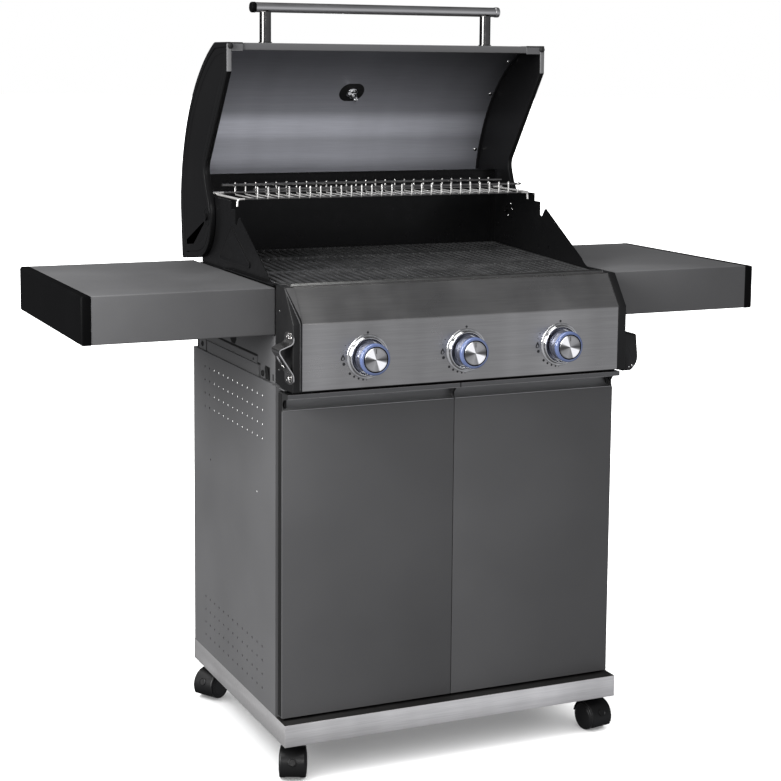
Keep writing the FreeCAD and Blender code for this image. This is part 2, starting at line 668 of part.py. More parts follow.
def warming_rack():
    """Wire rack: lower frame, raised front and rear rails and cross wires turned up at both ends."""
    front, back, z = RACK_FRONT + 4, RACK_BACK, RACK_Z
    rail_z = z + RACK_RAIL_RISE
    frame_wire, side_wire, cross_wire = RACK_WIRE + 0.5, RACK_WIRE + 0.2, RACK_WIRE - 0.4
    wires = []
    for y, reach in ((front, RACK_RAIL_HALF), (back, RACK_RAIL_HALF + 22)):
        wires.append(rod((RACK_LEFT - 4, y, z), (RACK_RIGHT + 4, y, z), frame_wire))
        wires.append(rod((-reach, y, rail_z), (reach, y, rail_z), frame_wire))
    for x in (RACK_LEFT, RACK_RIGHT):
        wires.append(rod((x, front - 4, z), (x, back + 4, z), side_wire))
        for y in (front, back):
            wires.append(rod((x, y, z), (x, y, z - RACK_LEG), RACK_WIRE))
    for y in (front + 18, back - 18):
        wires.append(rod((RACK_LEFT + 4, y, z), (-FIREBOX_OUTER, y, z), frame_wire))
        wires.append(rod((RACK_RIGHT - 4, y, z), (FIREBOX_OUTER, y, z), frame_wire))
    reach = RACK_RAIL_HALF - 7
    pitch = 2 * reach / (RACK_CROSS_WIRES - 1)
    for index in range(RACK_CROSS_WIRES):
        x = -reach + pitch * index
        wires.append(rod((x, front - 4, z), (x, back + 4, z), cross_wire))
        for y in (front, back):
            wires.append(rod((x, y, z), (x, y, rail_z + 4), cross_wire - 0.2))
    return join(wires)


# ---- Lid ---------------------------------------------------------------------------------
LID_OUTLINE_START = (LID_FRONT, LID_TOP - 3)
LID_OUTLINE = [(LID_FRONT, 1203.0), (421.0, 1040.0), (428.0, 1026.0, 426.0, 1010.0),
               (417.0, 988.0), (397.0, 935.0, 462.0, 856.0), (480.0, 852.0), (568.0, 842.5),
               (573.0, 843.5, 575.0, 848.0), (583.0, 934.0), (583.5, 953.0, 582.0, 978.0),
               (511.0, 1152.5, 380.0, 1253.5), (374.0, LID_TOP), (306.0, LID_TOP)]


def lid_end():
    """Left end of the lid: a pressed panel with a raised rim on both faces."""
    plate = slab_yz(LID_OUTLINE_START, LID_OUTLINE, -LID_OUTER, -LID_INNER)
    wire = outline_yz(LID_OUTLINE_START, LID_OUTLINE, -LID_OUTER)
    outside = inset_pocket(wire, 11.0, -LID_OUTER - 1, -LID_OUTER + 2.5)
    inside = inset_pocket(wire, 9.0, -LID_INNER - 4.0, -LID_INNER + 1)
    boss = rod((-LID_OUTER, PIVOT_Y, PIVOT_Z), (-LID_INNER, PIVOT_Y, PIVOT_Z), 15.0)
    plate = join([plate.cut(outside).cut(inside), boss])
    bore = rod((-LID_OUTER - 1, PIVOT_Y, PIVOT_Z), (-LID_INNER + 1, PIVOT_Y, PIVOT_Z),
               PIN_RADIUS + FIT)
    return plate.cut(bore)


SKIN_THICKNESS = 1.2
SKIN_EDGE = 4.0
SKIN_START = (373.0, LID_TOP - SKIN_EDGE)
SKIN_MIDDLE = (508.0, 1150.0)
SKIN_END = (578.0, 978.0)
SKIN_BOTTOM = (572.0, 860.0)


def circle_through(first, second, third):
    """Centre and radius of the circle through three points in the YZ plane."""
    circle = Part.Circle(V(0, *first), V(0, *second), V(0, *third))
    return (circle.Center.y, circle.Center.z), circle.Radius


SKIN_CENTRE, SKIN_RADIUS = circle_through(SKIN_START, SKIN_MIDDLE, SKIN_END)


def towards_centre(point, distance):
    """Point moved towards the centre of the skin's arc."""
    dy, dz = SKIN_CENTRE[0] - point[0], SKIN_CENTRE[1] - point[1]
    scale = distance / math.hypot(dy, dz)
    return (point[0] + dy * scale, point[1] + dz * scale)


THERMO_ANGLE = 40.0          # direction of the gauge's axis, up from the +Y axis


def along_thermo(distance):
    """Point on the gauge's axis, measured outwards from the skin's outer face."""
    angle = math.radians(THERMO_ANGLE)
    reach = SKIN_RADIUS + distance
    return (0.0, SKIN_CENTRE[0] + reach * math.cos(angle), SKIN_CENTRE[1] + reach * math.sin(angle))


def lid_skin():
    """Curved sheet between the lid ends, hemmed along its lower edge."""
    half = LID_INNER - 0.2
    start, middle, end = (towards_centre(p, SKIN_THICKNESS)
                          for p in (SKIN_START, SKIN_MIDDLE, SKIN_END))
    low_y, low_z = SKIN_BOTTOM
    path = [SKIN_START, SKIN_MIDDLE + SKIN_END, SKIN_BOTTOM, (low_y - 10.0, low_z),
            (low_y - 10.0, low_z + SKIN_THICKNESS), (low_y - SKIN_THICKNESS, low_z + SKIN_THICKNESS),
            end, middle + start, (322.0, LID_TOP - SKIN_EDGE - SKIN_THICKNESS)]
    skin = slab_yz((322.0, LID_TOP - SKIN_EDGE), path, -half, half)
    return skin.cut(rod(along_thermo(-20.0), along_thermo(20.0), 8.0))


def lid_front_rail():
    """Box-section rail along the lid's opening edge; the handle posts bolt to it."""
    half = LID_INNER - 0.2
    outer = box(-half, half, 307.0, 322.0, 1238.0, LID_TOP - SKIN_EDGE)
    inner = box(-half - 1, half + 1, 308.2, 323.0, 1239.2, LID_TOP - SKIN_EDGE - 1.2)
    return outer.cut(inner)


def thermometer():
    """Gauge on the lid's outside with its stem through the skin and a wing nut inside."""
    case = rod(along_thermo(0.1), along_thermo(9.0), 28.0)
    bezel = tube(along_thermo(9.0), along_thermo(11.5), 28.0, 24.5)
    neck = rod(along_thermo(-12.0), along_thermo(0.1), 7.6)
    probe = rod(along_thermo(-48.0), along_thermo(-12.0), 3.0)
    nut = rod(along_thermo(-9.0), along_thermo(-1.8), 11.0)
    wings = []
    for side in (-1, 1):
        wing = rod((side * 8.0, 0, 0), (side * 19.0, 0, 0), 2.4)
        wing.translate(V(*along_thermo(-7.5)))
        wings.append(wing)
    return join([case, bezel, neck, probe, nut] + wings)


def lid_handle_bar():
    return tube((-HANDLE_HALF, HANDLE_Y, HANDLE_Z), (HANDLE_HALF, HANDLE_Y, HANDLE_Z),
                HANDLE_RADIUS, HANDLE_RADIUS - 1.5)


def lid_handle_posts():
    """Round standoffs, coped to the bar."""
    bar = rod((-HANDLE_HALF, HANDLE_Y, HANDLE_Z), (HANDLE_HALF, HANDLE_Y, HANDLE_Z),
              HANDLE_RADIUS + 0.02)
    posts = []
    for x in (-POST_X, POST_X):
        post = tube((x, HANDLE_Y, LID_TOP - SKIN_EDGE), (x, HANDLE_Y, HANDLE_Z - 2),
                    POST_RADIUS, POST_RADIUS - 1.5)
        posts.append(post.cut(bar))
    return group(posts)


def lid_handle_caps():
    caps = []
    for side in (-1, 1):
        cap = rod((side * HANDLE_HALF, HANDLE_Y, HANDLE_Z),
                  (side * (HANDLE_HALF + HANDLE_CAP), HANDLE_Y, HANDLE_Z), HANDLE_RADIUS + 1.0)
        rim = [edge for edge in cap.Edges if edge.Curve.TypeId == "Part::GeomCircle"]
        caps.append(cap.makeFillet(2.5, rim))
    return group(caps)


def lid_bumpers():
    """Rubber buffers in the lid's front corners."""
    buffers = []
    for side in (-1, 1):
        x = side * (LID_INNER + LID_OUTER) / 2
        buffers.append(rod((x, LID_FRONT - 6.0, 1246.0), (x, LID_FRONT, 1246.0), 4.4))
    return group(buffers)


# ---- Side shelves ------------------------------------------------------------------------
def shelf():
    """Left shelf: deep folded sheet, open underneath, with an inward lip all round."""
    x0, x1 = -SHELF_OUTER, -SHELF_INNER
    outer = box(x0, x1, SHELF_FRONT, SHELF_BACK, SHELF_BOTTOM, SHELF_TOP)
    upright = [edge for edge in outer.Edges if abs(edge.Length - (x1 - x0)) < 0.01]
    outer = outer.makeFillet(2.0, upright)
    inner = box(x0 - 1, x1 - SHEET, SHELF_FRONT + SHEET, SHELF_BACK - SHEET,
                SHELF_BOTTOM + SHEET, SHELF_TOP - SHEET)
    opening = box(x0 - 1, x1 - 14, SHELF_FRONT + 14, SHELF_BACK - 14,
                  SHELF_BOTTOM - 1, SHELF_BOTTOM + 3)
    return outer.cut(inner).cut(opening)


def shelf_caps():
    """Moulded end caps that close the shelves' outer ends."""
    x0, x1 = -CAP_OUTER, -SHELF_OUTER
    cap = box(x0, x1, SHELF_FRONT - CAP_LIP, SHELF_BACK + CAP_LIP, SHELF_BOTTOM - CAP_LIP, SHELF_TOP)
    corner = [edge for edge in cap.Edges if abs(edge.BoundBox.XMin - x0) < 0.01
              and abs(edge.BoundBox.XMax - x0) < 0.01]
    cap = cap.makeFillet(5.0, corner)
    pocket = box(x0 + 3.0, x1 + 1, SHELF_FRONT + 4, SHELF_BACK - 4, SHELF_BOTTOM + 4, SHELF_TOP - 4)
    left = cap.cut(pocket)
    return group([left, mirrored(left)])


def shelf_brackets():
    """Angle under each shelf, hooked to the support plate and screwed to the shelf's lip."""
    x_plate = -PANEL_END_OUTER + 2.4
    plate = box(x_plate - 2.0, x_plate, 100.0, 446.0, 686.0, 762.0)
    flange = box(x_plate - 16.0, x_plate, 100.0, 446.0, 760.2, SHELF_BOTTOM - 0.2)
    left = join([plate, flange])
    holes = []
    for y, z in ((438.0, 694.0), (108.5, 692.0)):
        holes.append(rod((x_plate - 4, y, z), (x_plate + 2, y, z), 4.0))
    left = left.cut(group(holes))
    return group([left, mirrored(left)])


def bottle_opener():
    """Bent steel strip on the left end cover, bowed out round a cap slot."""
    x = -PANEL_END_OUTER
    y0, y1 = OPENER_Y - OPENER_WIDTH / 2, OPENER_Y + OPENER_WIDTH / 2
    out = x - OPENER_REACH
    path = [(x, 779.0), (x, 762.0), (out, 752.0), (out, 746.0), (x, 709.0), (x, 691.0)]
    inner = [V(px, y0, pz) for px, pz in path]
    outer = [V(px - OPENER_SHEET, y0, pz + (0.6 if px == out else 0)) for px, pz in reversed(path)]
    face = Part.Face(Part.makePolygon(inner + outer + [inner[0]]))
    strip = face.extrude(V(0, OPENER_WIDTH, 0))
    strip = strip.cut(box(out - 4, x - 4, OPENER_Y - 12, OPENER_Y + 12, 718.0, 738.0))
    for z in (772.0, 699.0):
        strip = strip.cut(rod((x - 5, OPENER_Y, z), (x + 1, OPENER_Y, z), 2.2))
    return strip


def light_battery_box():
    """Moulded box on the right end cover for the knob lights' cells."""
    x0 = PANEL_END_OUTER
    y0, y1 = -14.0, 36.0
    bottom = 674.5
    corners = [V(x0, y0, 747.0), V(x0 + 26.0, y0, 740.5), V(x0 + 29.3, y0, 702.0)]
    low = V(x0 + 14.5, y0, bottom)
    foot = V(x0, y0, bottom)
    edges = [Part.LineSegment(corners[0], corners[1]).toShape(),
             Part.LineSegment(corners[1], corners[2]).toShape(),
             Part.Arc(corners[2], V(x0 + 25.8, y0, 684.0), low).toShape(),
             Part.LineSegment(low, foot).toShape(),
             Part.LineSegment(foot, corners[0]).toShape()]
    return Part.Face(Part.Wire(edges)).extrude(V(0, y1 - y0, 0))


# ---- Write every node --------------------------------------------------------------------
def main():
    os.makedirs("parts", exist_ok=True)
    save("base_tray", base_tray())
    save("base_cross_channels", base_cross_channels())
    stems = []
    corners = (("front_left", -CASTER_X, CASTER_Y[0]), ("front_right", CASTER_X, CASTER_Y[0]),
               ("rear_left", -CASTER_X, CASTER_Y[1]), ("rear_right", CASTER_X, CASTER_Y[1]))
    for name, x, y in corners:
        stems.append(caster_stem(x, y))
        save("caster_hood_" + name, swivelled(caster_hood(x, y), name, x, y))
        save("caster_wheels_" + name, swivelled(caster_wheels(x, y), name, x, y))
    save("caster_stems", group(stems))

    side = cabinet_side()
    save("cabinet_side_left", side)
    save("cabinet_side_right", mirrored(side))
    save("cabinet_back_panel", cabinet_back_panel())
    save("cabinet_cross_rails", cabinet_cross_rails())
    save("support_plates", support_plates())
    leaf, grip = door(), door_grip()
    save("door_left", leaf)
    save("door_right", mirrored(leaf))
    save("door_grip_left", grip)
    save("door_grip_right", mirrored(grip))
    save("door_magnets", door_magnets())
    save("hinge_pins", hinge_pins())

    save("control_panel", control_panel())
    save("panel_ends", panel_ends())
    save("knob_bezels", knob_bezels())
    for name, x in zip(KNOB_NAMES, KNOB_X):
        save("knob_" + name, knob(x))
        save("valve_stem_" + name, valve_stem(x))
    save("gas_valves", gas_valves())
    save("gas_manifold", gas_manifold())
    save("burners", burners())
    save("flame_tamers", flame_tamers())
    save("igniters", igniters())

    wall = firebox_side()
    save("firebox_side_left", wall)
    save("firebox_side_right", mirrored(wall))
    save("firebox_back", firebox_back())
    save("firebox_front", firebox_front())
    save("firebox_bottom", firebox_bottom())
    save("grease_tray", grease_tray())
    edge = FIREBOX_OUTER - 4.5
    save("grate_left", grate(-edge, GRATE_SEAM_X - 0.6))
    save("grate_right", grate(GRATE_SEAM_X + 0.6, edge))
    save("warming_rack", warming_rack())

    end = lid_end()
    save("lid_end_left", end)
    save("lid_end_right", mirrored(end))
    save("lid_skin", lid_skin())
    save("lid_front_rail", lid_front_rail())
    save("lid_handle_bar", lid_handle_bar())
    save("lid_handle_posts", lid_handle_posts())
    save("lid_handle_caps", lid_handle_caps())
    save("lid_bumpers", lid_bumpers())
    save("thermometer", thermometer())

    tray = shelf()
    save("shelf_left", tray)
    save("shelf_right", mirrored(tray))
    save("shelf_caps", shelf_caps())
    save("shelf_brackets", shelf_brackets())
    save("bottle_opener", bottle_opener())
    save("light_battery_box", light_battery_box())


main()
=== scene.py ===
"""Looks of the gas barbecue grill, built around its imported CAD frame. Metres, +Z up, front faces -Y."""
import json
import math

import bmesh
import bpy
from mathutils import Matrix, Vector

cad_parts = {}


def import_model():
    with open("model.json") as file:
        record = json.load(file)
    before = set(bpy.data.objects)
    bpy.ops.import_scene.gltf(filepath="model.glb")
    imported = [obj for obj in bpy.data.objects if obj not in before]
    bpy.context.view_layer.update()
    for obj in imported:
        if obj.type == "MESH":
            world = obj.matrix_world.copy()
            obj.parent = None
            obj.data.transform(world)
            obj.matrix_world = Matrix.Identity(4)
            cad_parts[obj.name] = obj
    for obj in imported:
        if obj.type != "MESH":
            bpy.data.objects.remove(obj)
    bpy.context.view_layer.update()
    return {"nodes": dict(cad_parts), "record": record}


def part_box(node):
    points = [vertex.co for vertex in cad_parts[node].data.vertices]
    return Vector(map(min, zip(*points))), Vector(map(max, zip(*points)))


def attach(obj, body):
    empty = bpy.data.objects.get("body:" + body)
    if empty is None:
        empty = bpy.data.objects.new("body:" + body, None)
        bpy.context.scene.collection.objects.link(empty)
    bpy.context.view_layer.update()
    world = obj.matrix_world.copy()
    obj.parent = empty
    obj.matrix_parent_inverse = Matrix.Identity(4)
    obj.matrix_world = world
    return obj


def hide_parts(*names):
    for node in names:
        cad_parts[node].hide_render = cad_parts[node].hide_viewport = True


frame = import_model()

MM = 0.001
FRONT_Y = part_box("base_tray")[0].y      # depths below are measured from the base tray's front face
UP = Vector((0, 0, 1))
RIGHT = Vector((1, 0, 0))
WHITE = (1, 1, 1, 1)
ALONG_X = (0.02, 1, 1)                  # stretches of the noise along X and across it
ACROSS_X = (1, 0.02, 0.02)


def at(x, y, z):
    """Point given in millimetres: x from the middle, y from the base tray's front, z from the floor."""
    return Vector((x * MM, FRONT_Y + y * MM, z * MM))


# ---- Materials ---------------------------------------------------------------------------
def shade(name, base, metallic, roughness, **sockets):
    """A node material with one Principled shader, and its node tree."""
    material = bpy.data.materials.new(name)
    material.use_nodes = True
    tree = material.node_tree
    shader = tree.nodes["Principled BSDF"]
    shader.inputs["Base Color"].default_value = (*base, 1)
    shader.inputs["Metallic"].default_value = metallic
    shader.inputs["Roughness"].default_value = roughness
    for socket, value in sockets.items():
        shader.inputs[socket.replace("_", " ")].default_value = value
    return material, tree, shader


def link(source, target):
    source.id_data.links.new(source, target)


def node(tree, kind, **values):
    """A new shader node with some of its inputs set."""
    made = tree.nodes.new("ShaderNode" + kind)
    for socket, value in values.items():
        made.inputs[socket.replace("_", " ")].default_value = value
    return made


def noise(tree, scale, detail=2.0, stretch=(1, 1, 1), distortion=0.0):
    """Noise in object space; a stretch below one draws it out along that axis."""
    mapping = node(tree, "Mapping", Scale=stretch)
    texture = node(tree, "TexNoise", Scale=scale, Detail=detail, Distortion=distortion)
    link(node(tree, "TexCoord").outputs["Object"], mapping.inputs["Vector"])
    link(mapping.outputs["Vector"], texture.inputs["Vector"])
    return texture.outputs["Fac"]


def spread(tree, value, low, high, start=0.3, stop=0.7):
    """A value between start and stop, mapped onto a range."""
    ranged = node(tree, "MapRange", From_Min=start, From_Max=stop, To_Min=low, To_Max=high)
    link(value, ranged.inputs["Value"])
    return ranged.outputs["Result"]


def blend_colours(tree, value, dark, light):
    ramp = node(tree, "ValToRGB")
    for stop, position, colour in zip(ramp.color_ramp.elements, (0.3, 0.7), (dark, light)):
        stop.position = position
        stop.color = (*colour, 1)
    link(value, ramp.inputs["Fac"])
    return ramp.outputs["Color"]


def bump(tree, shader, height, strength, distance, below=None):
    relief = node(tree, "Bump", Strength=strength, Distance=distance)
    link(height, relief.inputs["Height"])
    if below is not None:
        link(below, relief.inputs["Normal"])
    link(relief.outputs["Normal"], shader.inputs["Normal"])
    return relief.outputs["Normal"]


def dress(tree, shader, colour, gloss, low, high):
    """Drive a shader's colour, and its roughness between two values."""
    link(colour, shader.inputs["Base Color"])
    link(spread(tree, gloss, low, high), shader.inputs["Roughness"])


def tinted(base, factor):
    return tuple(min(1.0, channel * factor) for channel in base)


def multiplied(tree, first, second):
    both = node(tree, "Mix", Factor=1.0)
    both.data_type = "RGBA"
    both.blend_type = "MULTIPLY"
    link(first, both.inputs["A"])
    link(second, both.inputs["B"])
    return both.outputs["Result"]


def ramp_of(tree, value, low, high, levels):
    """Grey levels along a value between low and high."""
    ramp = node(tree, "ValToRGB")
    stops = ramp.color_ramp.elements
    stops[0].position, stops[1].position = 0.0, 1.0
    for position, _ in levels[1:-1]:
        stops.new((position - low) / (high - low))
    for stop, (position, level) in zip(stops, levels):
        stop.position = (position - low) / (high - low)
        stop.color = (level, level * 1.005, level * 1.03, 1)
    link(spread(tree, value, 0.0, 1.0, low, high), ramp.inputs["Fac"])
    return ramp.outputs["Color"]


def generated(tree):
    """The piece's own coordinates, 0 to 1 across its box."""
    return node(tree, "TexCoord").outputs["Generated"]


def along_brush(tree, shader):
    """Turn the anisotropic gloss along the UVs."""
    tangent = node(tree, "Tangent")
    tangent.direction_type = "UV_MAP"
    link(tangent.outputs["Tangent"], shader.inputs["Tangent"])


def steel(name, base, roughness, grain=0.06, anisotropic=0.6, metallic=1.0, bands=0.0, fade=()):
    """Brushed stainless: fine lines along X in colour, gloss and relief, and soft smudges.

    bands adds wide darker streaks. fade is pairs of an axis and the grey levels along it: painted shade and
    light laid over the colour."""
    material, tree, shader = shade(name, base, metallic, roughness, Anisotropic=anisotropic)
    lines = noise(tree, 900, 3.0, ALONG_X)
    wide_lines = noise(tree, 160, 2.0, ALONG_X)
    smudges = noise(tree, 9, 3.0, (1, 1, 1), 0.4)
    mix = node(tree, "Math")
    mix.operation = "ADD"
    link(spread(tree, lines, 0.0, 0.65), mix.inputs[0])
    link(spread(tree, wide_lines, 0.0, 0.35), mix.inputs[1])
    colour = blend_colours(tree, mix.outputs[0], tinted(base, 1 - grain), tinted(base, 1 + grain))
    if bands:
        streaks = noise(tree, 9, 2.0, ACROSS_X)
        colour = multiplied(tree, colour, blend_colours(tree, streaks, (1 - bands,) * 3, (1.0,) * 3))
    for axis, levels in fade:
        parts = node(tree, "SeparateXYZ")
        link(generated(tree), parts.inputs["Vector"])
        colour = multiplied(tree, colour, ramp_of(tree, parts.outputs[axis], 0.0, 1.0, levels))
    dress(tree, shader, colour, smudges, roughness - 0.05, roughness + 0.06)
    bump(tree, shader, lines, 0.10, 0.0002)
    along_brush(tree, shader)
    return material


def powder_coat(name, base, roughness=0.42, speckle=0.10, peel=0.22, specular=0.5):
    """Baked powder paint: fine orange-peel relief, a faint metallic speckle and slight wear in gloss."""
    material, tree, shader = shade(name, base, 0.0, roughness, Specular_IOR_Level=specular)
    peel_noise = noise(tree, 750, 2.0)
    speck = noise(tree, 2600, 1.0)
    cloud = noise(tree, 5, 3.0)
    mix = node(tree, "Math")
    mix.operation = "MULTIPLY_ADD"
    mix.inputs[1].default_value = 0.7
    link(speck, mix.inputs[0])
    link(spread(tree, cloud, 0.0, 0.3), mix.inputs[2])
    colour = blend_colours(tree, mix.outputs[0], tinted(base, 1 - speckle), tinted(base, 1 + speckle))
    dress(tree, shader, colour, cloud, roughness - 0.04, roughness + 0.05)
    bump(tree, shader, peel_noise, peel, 0.0003)
    return material


def plastic(name, base, roughness=0.45, texture=0.3, scale=1400, specular=0.45):
    """Moulded plastic with a spark-eroded grain."""
    material, tree, shader = shade(name, base, 0.0, roughness, Specular_IOR_Level=specular)
    grain = noise(tree, scale, 2.0)
    cloud = noise(tree, 12, 2.0)
    colour = blend_colours(tree, cloud, tinted(base, 0.88), tinted(base, 1.15))
    dress(tree, shader, colour, cloud, roughness - 0.04, roughness + 0.06)
    bump(tree, shader, grain, texture, 0.0003)
    return material


def enamel(name, base, roughness=0.16):
    """Porcelain enamel: glossy, with a slow ripple and pinholes."""
    material, tree, shader = shade(name, base, 0.0, roughness, Specular_IOR_Level=0.16, Coat_Weight=0.06,
                                   Coat_Roughness=0.12)
    ripple = noise(tree, 45, 2.0)
    pits = noise(tree, 900, 2.0)
    colour = blend_colours(tree, pits, tinted(base, 0.8), tinted(base, 1.3))
    dress(tree, shader, colour, ripple, roughness - 0.03, roughness + 0.08)
    first = bump(tree, shader, ripple, 0.25, 0.001)
    bump(tree, shader, pits, 0.12, 0.0003, first)
    return material


def rough_metal(name, base, metallic, roughness, scale=260, relief=0.5, depth=0.0006):
    """Cast or zinc-dipped metal: coarse grain, patches of gloss and colour."""
    material, tree, shader = shade(name, base, metallic, roughness)
    grain = noise(tree, scale, 5.0)
    patches = noise(tree, 22, 4.0, (1, 1, 1), 0.6)
    colour = blend_colours(tree, patches, tinted(base, 0.75), tinted(base, 1.3))
    dress(tree, shader, colour, patches, roughness - 0.08, roughness + 0.1)
    bump(tree, shader, grain, relief, depth)
    return material


def bright_metal(name, base, roughness, metallic=1.0):
    """Plated or polished metal with faint haze."""
    material, tree, shader = shade(name, base, metallic, roughness)
    haze = noise(tree, 60, 3.0)
    colour = blend_colours(tree, haze, tinted(base, 0.93), tinted(base, 1.05))
    dress(tree, shader, colour, haze, roughness - 0.03, roughness + 0.05)
    bump(tree, shader, noise(tree, 700, 2.0), 0.04, 0.0002)
    return material


def spun_metal(name):
    """Turned aluminium: fine grooves, and a painted fan of bright and dim sectors that stands in for its
    reflections, made to glow as well.
    """
    material, tree, shader = shade(name, (0.86, 0.85, 0.84), 0.8, 0.24, Emission_Strength=0.42)
    facing = node(tree, "Mapping", Location=(-0.5, 0.5, -0.5), Rotation=(math.radians(90), 0, 0))
    glint_fan = node(tree, "TexGradient")
    glint_fan.gradient_type = "RADIAL"
    link(generated(tree), facing.inputs["Vector"])
    link(facing.outputs["Vector"], glint_fan.inputs["Vector"])
    # Painted highlight: bright and dim wedges round the cap, used both as colour and as glow.
    painted_glints = ramp_of(tree, glint_fan.outputs["Fac"], 0.0, 1.0,
                      ((0.0, 0.10), (0.04, 0.22), (0.075, 1.0), (0.19, 1.0), (0.215, 0.36), (0.30, 0.44),
                       (0.42, 0.38), (0.50, 0.09), (0.53, 0.25), (0.56, 1.0), (0.69, 1.0), (0.715, 0.32),
                       (0.80, 0.44), (0.93, 0.34), (0.97, 0.12), (1.0, 0.10)))
    grooves = blend_colours(tree, noise(tree, 700, 2.0), (0.80, 0.79, 0.78), (0.90, 0.89, 0.88))
    link(multiplied(tree, grooves, painted_glints), shader.inputs["Base Color"])
    link(multiplied(tree, painted_glints, painted_glints), shader.inputs["Emission Color"])
    bump(tree, shader, noise(tree, 900, 2.0), 0.05, 0.0002)
    return material


def lit_ring(name):
    """Clear acrylic collar, glowing pale blue from the light behind it."""
    material, tree, shader = shade(name, (0.11, 0.15, 0.31), 0.0, 0.10, Coat_Weight=0.8,
                                   Emission_Strength=0.07)
    glow = noise(tree, 70, 2.0)
    colour = blend_colours(tree, glow, (0.10, 0.16, 0.50), (0.70, 0.80, 1.0))
    link(colour, shader.inputs["Emission Color"])
    bump(tree, shader, noise(tree, 300, 2.0), 0.08, 0.0003)
    return material


def printed(name, base=(0.012, 0.012, 0.013)):
    """Screen-printed ink."""
    material, tree, shader = shade(name, base, 0.0, 0.5)
    grain = noise(tree, 900, 2.0)
    colour = blend_colours(tree, grain, tinted(base, 0.7), tinted(base, 1.6))
    link(colour, shader.inputs["Base Color"])
    bump(tree, shader, grain, 0.1, 0.0001)
    return material


STAINLESS = steel("brushed_stainless", (0.56, 0.555, 0.55), 0.30)
# Painted shade and light for the lid's inner face: darker towards its top and towards its right end, with a
# painted highlight band part way up.
LID_PAINTED_SHADE = (("Z", ((0.0, 1.0), (0.29, 1.0), (0.42, 0.78), (0.53, 0.66), (0.575, 0.95), (0.625, 0.95),
                 (0.68, 0.44), (0.80, 0.29), (0.92, 0.18), (1.0, 0.12))),
          ("X", ((0.0, 1.0), (0.45, 1.0), (0.75, 0.64), (1.0, 0.38))))
# The lid's inner stainless carries the painted shade and highlight above, and its wide streaks are painted
# reflection.
STAINLESS_LID = steel("brushed_stainless_lid_painted_shade", (0.80, 0.805, 0.85), 0.36, grain=0.04, metallic=0.35,
                      bands=0.14, fade=LID_PAINTED_SHADE)
HANDLE_STEEL = steel("satin_handle_steel", (0.66, 0.655, 0.65), 0.30, grain=0.03, anisotropic=0.2)
DOOR_PAINT = powder_coat("grey_powder_coat", (0.098, 0.098, 0.101), 0.42, 0.10, 0.22, 0.35)
SIDE_PAINT = powder_coat("side_powder_coat", (0.118, 0.118, 0.121), 0.42, 0.10, 0.22, 0.35)
SHELF_PAINT = powder_coat("shelf_powder_coat", (0.115, 0.115, 0.118), 0.48, 0.16, 0.3)
BLACK_PAINT = powder_coat("black_satin_paint", (0.0055, 0.0055, 0.0058), 0.36, 0.2, 0.14, 0.20)
ENAMEL = enamel("black_enamel", (0.0045, 0.0045, 0.0048), 0.30)
IRON = rough_metal("enamelled_cast_iron", (0.040, 0.040, 0.041), 0.0, 0.42)
ZINC = rough_metal("zinc_plate", (0.48, 0.49, 0.50), 1.0, 0.42, 420, 0.15, 0.0003)
BRASS = rough_metal("brass", (0.60, 0.45, 0.20), 1.0, 0.35, 500, 0.1, 0.0002)
CHROME = bright_metal("polished_chrome", (0.80, 0.80, 0.80), 0.10)
WIRE = bright_metal("plated_wire", (0.80, 0.79, 0.77), 0.20, 0.6)
RAIL_WIRE = bright_metal("dull_plated_wire", (0.26, 0.255, 0.25), 0.34)
SPUN_PAINTED_GLINTS = spun_metal("spun_aluminium_painted_glints")
KNOB_SHELL = bright_metal("knob_shell", (0.42, 0.44, 0.54), 0.34)
RING = lit_ring("lit_ring")
BLACK_PLASTIC = plastic("black_moulded_plastic", (0.020, 0.020, 0.021))
END_PLASTIC = plastic("charcoal_moulded_plastic", (0.009, 0.009, 0.0093), 0.42, 0.22, 1400, 0.3)
CASTER_PLASTIC = plastic("caster_plastic", (0.006, 0.006, 0.0062), 0.38, 0.18, 1400, 0.3)
BOX_PLASTIC = plastic("glossy_black_plastic", (0.006, 0.006, 0.006), 0.24, 0.06)
# Black plastic for dark parts, and a dark sheet put as painted shade in slots, holes and gaps.
DARK_PARTS_AND_SHADE = plastic("dark_plastic_and_painted_shade", (0.004, 0.004, 0.004), 0.7, 0.2)
STAINLESS_FASCIA = steel("brushed_stainless_fascia", (0.44, 0.435, 0.43), 0.30, grain=0.05, bands=0.30)
# The base tray's front: a brightened copy of the stainless, painted reflection of the floor, darkened
# towards its left end as painted shade.
STAINLESS_BASE_LIT = steel("brushed_stainless_base", (0.92, 0.905, 0.89), 0.33, metallic=0.60, bands=0.22,
                       fade=(("X", ((0.0, 0.68), (0.35, 0.90), (0.7, 1.0), (1.0, 1.0))),))
# A darkened copy of the stainless for the tray's top faces: painted shade.
TRAY_TOP_SHADED = steel("brushed_stainless_top_painted_shade", (0.20, 0.195, 0.19), 0.34)
# A darkened copy of the stainless for the door pulls' lip: painted shade.
GRIP_LIP_SHADED = steel("brushed_stainless_lip_painted_shade", (0.16, 0.16, 0.16), 0.38)
POLISHED = bright_metal("polished_steel", (0.72, 0.71, 0.70), 0.16)
# A darkened copy of the polished steel for the firebox's rolled lip: painted shade.
POLISHED_LIP_SHADED = bright_metal("polished_steel_lip_painted_shade", (0.22, 0.22, 0.215), 0.34)
# A darkened copy of the polished steel for the handle's standoffs: painted shade that keeps their sides
# dark.
POSTS_SHADED = bright_metal("polished_post_painted_shade", (0.13, 0.128, 0.125), 0.12)
GRIP_DISH = steel("brushed_stainless_dish", (0.46, 0.46, 0.46), 0.42)
# A lightened copy of the grey powder coat for the lid's front rail: painted light on its front face.
RAIL_PAINT_LIT = powder_coat("rail_powder_coat_painted_light", (0.135, 0.135, 0.139), 0.5)
